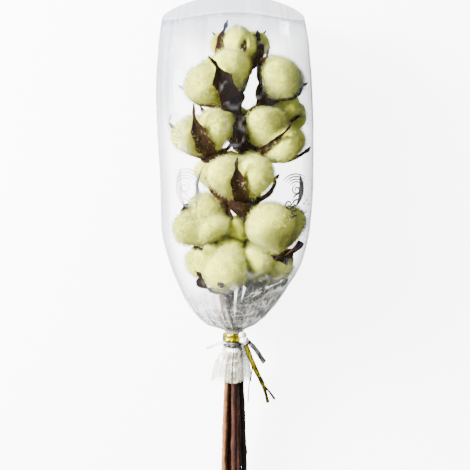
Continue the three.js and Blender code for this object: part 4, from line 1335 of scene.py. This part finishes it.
def film_point(turn, y, lift=0.0):
    """The film's section is a superellipse whose size runs smoothly through the rows.
    A point stands off it by lift, square to the section, and never under the table. The
    mouth bows back at its sides and the skirt's edge is ragged."""
    left, right, top, bottom, square = film_row(y)
    cos, sin = np.cos(turn), np.sin(turn)
    half, tall = np.where(cos < 0, left, right), (top - bottom) / 2
    c, s = np.abs(cos) ** (2 / square), np.abs(sin) ** (2 / square)
    east, north = np.sign(cos), np.sign(sin)
    slope = unit(np.stack([east * c ** (square - 1) / half, north * s ** (square - 1) / tall], -1))
    x = east * half * c + slope[..., 0] * lift
    z = (top + bottom) / 2 + north * tall * s + slope[..., 1] * lift
    bow = MOUTH_BOW * (x / half) ** 2 * np.clip((y - 250) / 36, 0, None)
    ragged = 2.6 * noise(wrapped(turn, 2, y * 0), 1.0, 41) * (1 - rise(-37, -24, y))
    return np.stack([x, y - bow + ragged, np.maximum(z, ON_TABLE)], axis=-1)


def film_lift(turn, y):
    """The wrinkles, never so deep that they reach the bolls, and none under the tie."""
    tied = rise(-8, -6.5, y) * (1 - rise(5, 7, y))
    return np.maximum(film_wrinkle(turn, y), -FILM_SINKS) * (1 - tied)


class COTTON_OT_sleeve(bpy.types.Operator):
    """Makes the film sleeve with its pleats, folds and crumples"""

    bl_idname = "cotton.sleeve"
    bl_label = "Film sleeve"

    def execute(self, context):
        y = [np.linspace(low, high, count, endpoint=False) for low, high, count in FILM_BANDS]
        turn, y = np.meshgrid(full_turn(FILM_COLUMNS), np.concatenate([*y, SLEEVE_Y[-1:]]))
        lift = film_lift(turn, y)
        outer = film_point(turn, y, lift)
        inner = film_point(turn, y, lift - FILM_THICK)
        near_tie = bell(y, 8, 26) * (0.75 + 0.5 * noise(outer, 9.0, 52))
        right = bell(turn, 0.8, 0.6) * bell(y, 31, 20)
        low = 0.35 + 0.4 * (1 - rise(170, 215, y))
        flank = rise(0, 1, (np.abs(np.cos(turn)) - low) / (1.1 - low))
        head = rise(245, 272, y)
        brim = rise(264, 272, y) * (np.sin(turn) > 0)
        streaks = noise(wrapped(turn, 14, y / 110), 1.0, 51)
        streaks = np.clip(streaks * 1.6, 0, 1) * (0.2 + 0.8 * flank)
        skirt = 1 - rise(-12, -7, y)
        middle = bell(outer[..., 0], 1, 8)
        haze = 0.5 * np.maximum(flank, head) + 0.42 * brim + 0.3 * streaks + 0.8 * near_tie + right
        haze = haze + skirt * (0.2 + 0.6 * middle)
        crumple = right + 0.7 * near_tie * rise(5, 9, y) + skirt * (0.08 + 0.6 * middle)
        dusk = right + 1.2 * skirt * middle
        values = {"haze": haze, "grey": near_tie + skirt, "dusk": dusk, "crumple": crumple}
        values = {name: np.clip(value, 0, 1) for name, value in values.items()}
        # fold is high on the ridges of the wrinkles and low in their valleys: the mask of the film's painted
        # highlights and painted shade.
        fold = np.clip((lift - smoothed(lift, 3)) * 7, -1, 1)
        skin = Skin()
        skin.wall(outer, inner, wrap=True, fold=fold, **values)
        skin.object("film_sleeve", film_material(looks()), ["sleeve"])
        return {"FINISHED"}


def on_film(x, y, proud):
    """A point of the film's upper side over the place x, y, a little proud of it. The
    section gives |cos t| as (|x| / half width) to the power of half its roundness."""
    left, right, _, _, square = film_row(y)
    half = np.where(x < 0, left, right)
    turn = np.arccos(np.sign(x) * np.clip(np.abs(x) / half, 0, 0.999) ** (square / 2))
    return film_point(turn, y, film_lift(turn, y) + proud)


def brush(skin, x, y, wide, ink):
    """A printed stroke: a thin strip on the film along the line x, y, with this width at
    each point and this strength of ink."""
    line = np.stack([x, y], axis=1)
    way = unit(np.gradient(line, axis=0))
    side = np.stack([-way[:, 1], way[:, 0]], axis=1) * np.asarray(wide, float)[:, None] / 2
    edges = line[:, None] + side[:, None] * np.linspace(-1, 1, 3)[None, :, None]
    top, low = (on_film(edges[..., 0], edges[..., 1], proud) for proud in (INK_TOP, INK_LOW))
    skin.wall(top, low, ink=ink)


def scroll(skin, x, y, size, start, turns, ink, hand=1):
    """A scroll: a spiral that winds in from its size to a dot, thin at both ends, with
    a swelling in its outer turn."""
    t = np.linspace(0, 1, int(30 * turns) + 8)
    angle = np.radians(start) + hand * 2 * np.pi * turns * t
    reach = size * (1 - 0.8 * t**0.8)
    wide = 0.2 * size * (0.25 + np.sin(np.pi * np.clip(t * 1.1, 0, 1)) ** 0.7) + 0.15
    brush(skin, x + reach * np.cos(angle), y + reach * np.sin(angle), wide, ink)


def leaf(skin, start, bend, end, wide, ink):
    """A leaf stroke: a curve of second degree from start by bend to end, widest in its
    first half and pointed at both ends."""
    t = np.linspace(0, 1, 18)
    x, y = ((1 - t) ** 2 * a + 2 * t * (1 - t) * b + t * t * c for a, b, c in zip(start, bend, end))
    brush(skin, x, y, wide * np.sin(np.pi * t**0.8) + 0.15, ink)


class COTTON_OT_print(bpy.types.Operator):
    """Makes the scrolls and leaves that are printed on the film"""

    bl_idname = "cotton.print"
    bl_label = "Scroll print"

    def execute(self, context):
        skin = Skin()
        for spray in SPRAYS:
            self.spray(skin, *spray)
        for k in range(6):
            top, low = (-22 - 2.1 * k, 146 - 3.5 * k), (-30 + 1.2 * k, 104 + 2 * k)
            leaf(skin, top, (-33 + 0.6 * k, 130), low, 2.1, 0.32)
        draw = np.random.default_rng(12)
        for x, y, ink in DOTS:
            scroll(skin, x, y, 0.8, 0, 1, ink)
        for _ in range(26):
            x, y = 59 + 3.4 * draw.normal(), 108 + 11 * draw.normal()
            if x < 64:
                way = draw.uniform(-1, 1, 2) * 2.2
                leaf(skin, (x, y), (x + way[0], y), (x + way[0], y + way[1]), 1.1, 0.4)
        skin.object("scroll_print", print_material(looks()))
        return {"FINISHED"}

    def spray(self, skin, x, y, size, ink, hand):
        """One motif: a fan of arcs over a scroll, a second scroll below it on a long
        stem, and a row of leaves along one side."""
        for k in range(4):
            t = np.radians(np.linspace(28, 150 - 8 * k, 22))
            reach = (6.2 + 2.3 * k) * size
            wide = (0.35 + 0.8 * np.sin(np.linspace(0, np.pi, 22))) * size
            brush(skin, x - hand * reach * np.cos(t), y + 13 * size + reach * np.sin(t) * 0.9, wide, ink)
        scroll(skin, x, y + 12 * size, 4.4 * size, 100, 1.5, ink, hand)
        scroll(skin, x - hand * 6.5 * size, y, 4.8 * size, 60, 1.6, ink, -hand)
        stem = [(x + hand * side * size, y + up * size) for side, up in ((2.5, 25), (7.5, 8), (-2, -3))]
        leaf(skin, *stem, 4.2 * size, ink)
        for k in range(5):
            foot = (x + hand * (2 - 0.5 * k) * size, y + (9 - 4.4 * k) * size)
            bend = (foot[0] - hand * 3.5 * size, foot[1] - 0.5 * size)
            tip = (foot[0] - hand * 5.5 * size, foot[1] - (4.5 - 0.4 * k) * size)
            leaf(skin, foot, bend, tip, 1.5 * size, ink * 0.85)


# The tie


def ribbon(skin, points, width, thick, seed, curl):
    """A strip of foil along a route: flat across, wavy along its edges, and turned about
    its line by curl radians from end to end."""
    line, along = route(points, 1.0)
    share = along / along[-1]
    _, up, side = across(line, UP)
    side, up = turned(side, up, (curl * share + 0.35 * np.sin(share * 9 + seed))[:, None])
    t = np.linspace(-1, 1, 7)
    key = np.stack(np.broadcast_arrays(share[:, None] * along[-1] / 3, t[None] * 1.5, seed * 3.1), axis=-1)
    height = 0.25 * noise(key, 1.0, seed) + 0.22 * t[None] ** 2
    spread = t[None] * width / 2 * (1 + 0.08 * noise(key * [1, 0, 1], 1.0, seed + 2))
    middle = line[:, None] + side[:, None] * spread[..., None] + up[:, None] * height[..., None]
    front, back = middle + up[:, None] * thick / 2, middle - up[:, None] * thick / 2
    skin.wall(front, back, edge=np.abs(t))


class COTTON_OT_tie(bpy.types.Operator):
    """Makes the foil band, its knot, its tails and the thin trim beside them"""

    bl_idname = "cotton.tie"
    bl_label = "Foil tie"

    def execute(self, context):
        gold = foil_material("gold foil", (0.23, 0.185, 0.0006), (0.014, 0.01, 0.0003))
        dark = foil_material("dark foil", (0.13, 0.14, 0.115), (0.002, 0.003, 0.002))
        pale = foil_material("pale foil", (0.8, 0.74, 0.7), (0.35, 0.3, 0.3), metallic=0.2)
        grey = foil_material("grey foil", (0.05, 0.052, 0.042), (0.006, 0.007, 0.005))
        self.band(gold)
        self.knot(pale)
        self.strand(grey)
        for name, ribbons, material, slot, nodes in (
            ("film_shreds", CLEAR_STRIP, shred_material(), "film", ()),
            ("gold_tail", GOLD_TAIL, gold, "gold_foil", ["tie_tail_gold"]),
            ("dark_tail", DARK_TAIL, dark, "dark_foil", ["tie_tail_dark"]),
        ):
            skin = Skin()
            for one in ribbons:
                ribbon(skin, *one)
            skin.object(name, material, nodes)
        return {"FINISHED"}

    def band(self, material):
        """Rings of a lens-shaped section round the neck, creased by noise."""
        sides, section = 160, 24
        turn, loop = np.meshgrid(full_turn(sides), full_turn(section))
        spot = wrapped(turn, 9, np.cos(loop) * 4)
        crease = 0.7 * (creased(spot * [1, 1, 2.6], 3.2, 5) ** 2 - 0.45) * rise(-0.4, 0.4, np.sin(loop))
        radius = BAND_RADIUS + 0.55 * np.sin(loop) + crease
        y = -0.3 + BAND_HALF * np.cos(loop) + 0.5 * noise(spot, 5.0, 8)
        ring = np.stack([radius * np.cos(turn), y, NECK_Z + radius * np.sin(turn)], axis=-1)
        faces, places = grid(section + 1, sides, True)
        skin = Skin()
        skin.add(ring, [(faces % (section * sides), places)])
        skin.object("foil_band", material, ["tie_band"])

    def knot(self, material):
        """Crumpled lobes: ellipsoids whose size sharp noise folds change."""
        way = sphere(30, 52)
        skin = Skin()
        for n, (middle, half) in enumerate(LOBES):
            folds = creased(way * [2, 3.2, 2.4], 1.0, 6 + n) ** 2 + 0.5 * creased(way * 5, 1.0, 16 + n)
            skin.tube(np.array(middle) + way * half * (0.66 + 0.34 * folds)[..., None])
        skin.object("foil_knot", material, ["tie_knot"])

    def strand(self, material):
        """A twisted strand of foil that runs from the knot round the neck: a tube with
        three flutes that turn along it. With it goes the thin thread that hangs at the
        right."""
        skin = Skin()
        line, along = route(STRAND, 0.35)
        _, side, up = across(line, UP)
        t = full_turn(15)
        wide = 0.95 + 0.3 * np.cos(3 * t[None] + along[:, None] * 1.5)
        skin.tube(line[:, None] + spokes(side, up, t) * wide[..., None], [line[0], line[-1]])
        ribbon(skin, *THREAD)
        skin.object("foil_strand", material)


class COTTON_OT_stage(bpy.types.Operator):
    """Sets the floor, the lights and the camera"""

    bl_idname = "cotton.stage"
    bl_label = "Stage"

    def execute(self, context):
        scene = context.scene
        self.floor(scene)
        self.backdrop(scene)
        target = Vector(put(VIEW_MIDDLE))
        for name, (place, power, wide, tall) in LAMPS.items():
            light = bpy.data.lights.new(name, "AREA")
            light.shape = "RECTANGLE"
            light.energy, light.size, light.size_y = power, wide, tall
            lamp = bpy.data.objects.new(name, light)
            lamp.location = target + Vector(place)
            lamp.rotation_euler = (-Vector(place)).to_track_quat("-Z", "Y").to_euler()
            scene.collection.objects.link(lamp)
        lens = bpy.data.cameras.new("camera")
        lens.lens, lens.sensor_width = 85.0, 36.0
        camera = bpy.data.objects.new("camera", lens)
        camera.location = target + Vector((0, 0, CAMERA_UP))
        scene.collection.objects.link(camera)
        scene.camera = camera
        return {"FINISHED"}

    def floor(self, scene):
        """A pale floor that glows for the camera alone and lights nothing."""
        mesh = bpy.data.meshes.new("floor")
        far = FLOOR_HALF
        mesh.from_pydata([(-far, -far, 0), (far, -far, 0), (far, far, 0), (-far, far, 0)], [], [(0, 1, 2, 3)])
        material, n, skin = shader("pale floor")
        seen = n.new("ShaderNodeLightPath").outputs["Is Camera Ray"]
        n.fill(skin, {
            "Base Color": (0.4, 0.4, 0.41, 1),
            "Roughness": 0.9,
            "Specular IOR Level": 0.1,
            "Emission Color": (1, 1, 1, 1),
            "Emission Strength": n.times(seen, FLOOR_GLOW),
        })
        mesh.materials.append(material)
        floor = bpy.data.objects.new("floor", mesh)
        scene.collection.objects.link(floor)

    def backdrop(self, scene):
        """A world that gives soft light and glows white for the camera."""
        scene.world = bpy.data.worlds.new("studio")
        scene.world.use_nodes = True
        tree = scene.world.node_tree
        n = Nodes(tree)
        seen = n.new("ShaderNodeLightPath").outputs["Is Camera Ray"]
        inputs = {0: seen, 1: BACKDROP_GLOW, 2: BACKDROP_LIGHT}
        glow = n.new("ShaderNodeMath", inputs, operation="MULTIPLY_ADD").outputs[0]
        n.fill(tree.nodes["Background"], {"Color": (0.96, 0.98, 1.0, 1), "Strength": glow})


class COTTON_PT_panel(bpy.types.Panel):
    """Buttons that build the bunch"""

    bl_idname = "COTTON_PT_panel"
    bl_label = "Cotton Stem Bunch"
    bl_space_type = "VIEW_3D"
    bl_region_type = "UI"
    bl_category = "Cotton"

    def draw(self, context):
        for name in CottonLooks.__annotations__:
            self.layout.prop(context.scene.cotton_looks, name)
        for operator in OPERATORS:
            self.layout.operator(operator.bl_idname)


OPERATORS = (
    COTTON_OT_stage,
    COTTON_OT_stems,
    COTTON_OT_husks,
    COTTON_OT_lint,
    COTTON_OT_sleeve,
    COTTON_OT_print,
    COTTON_OT_tie,
)
CLASSES = (CottonLooks, *OPERATORS, COTTON_PT_panel)


def register():
    for one in CLASSES:
        bpy.utils.register_class(one)
    bpy.types.Scene.cotton_looks = PointerProperty(type=CottonLooks)


def unregister():
    del bpy.types.Scene.cotton_looks
    for one in reversed(CLASSES):
        bpy.utils.unregister_class(one)


def main():
    register()
    bpy.ops.cotton.stage()
    bpy.ops.cotton.stems()
    bpy.ops.cotton.husks()
    bpy.ops.cotton.lint()
    bpy.ops.cotton.sleeve()
    bpy.ops.cotton.print()
    bpy.ops.cotton.tie()


if __name__ == "__main__":
    main()
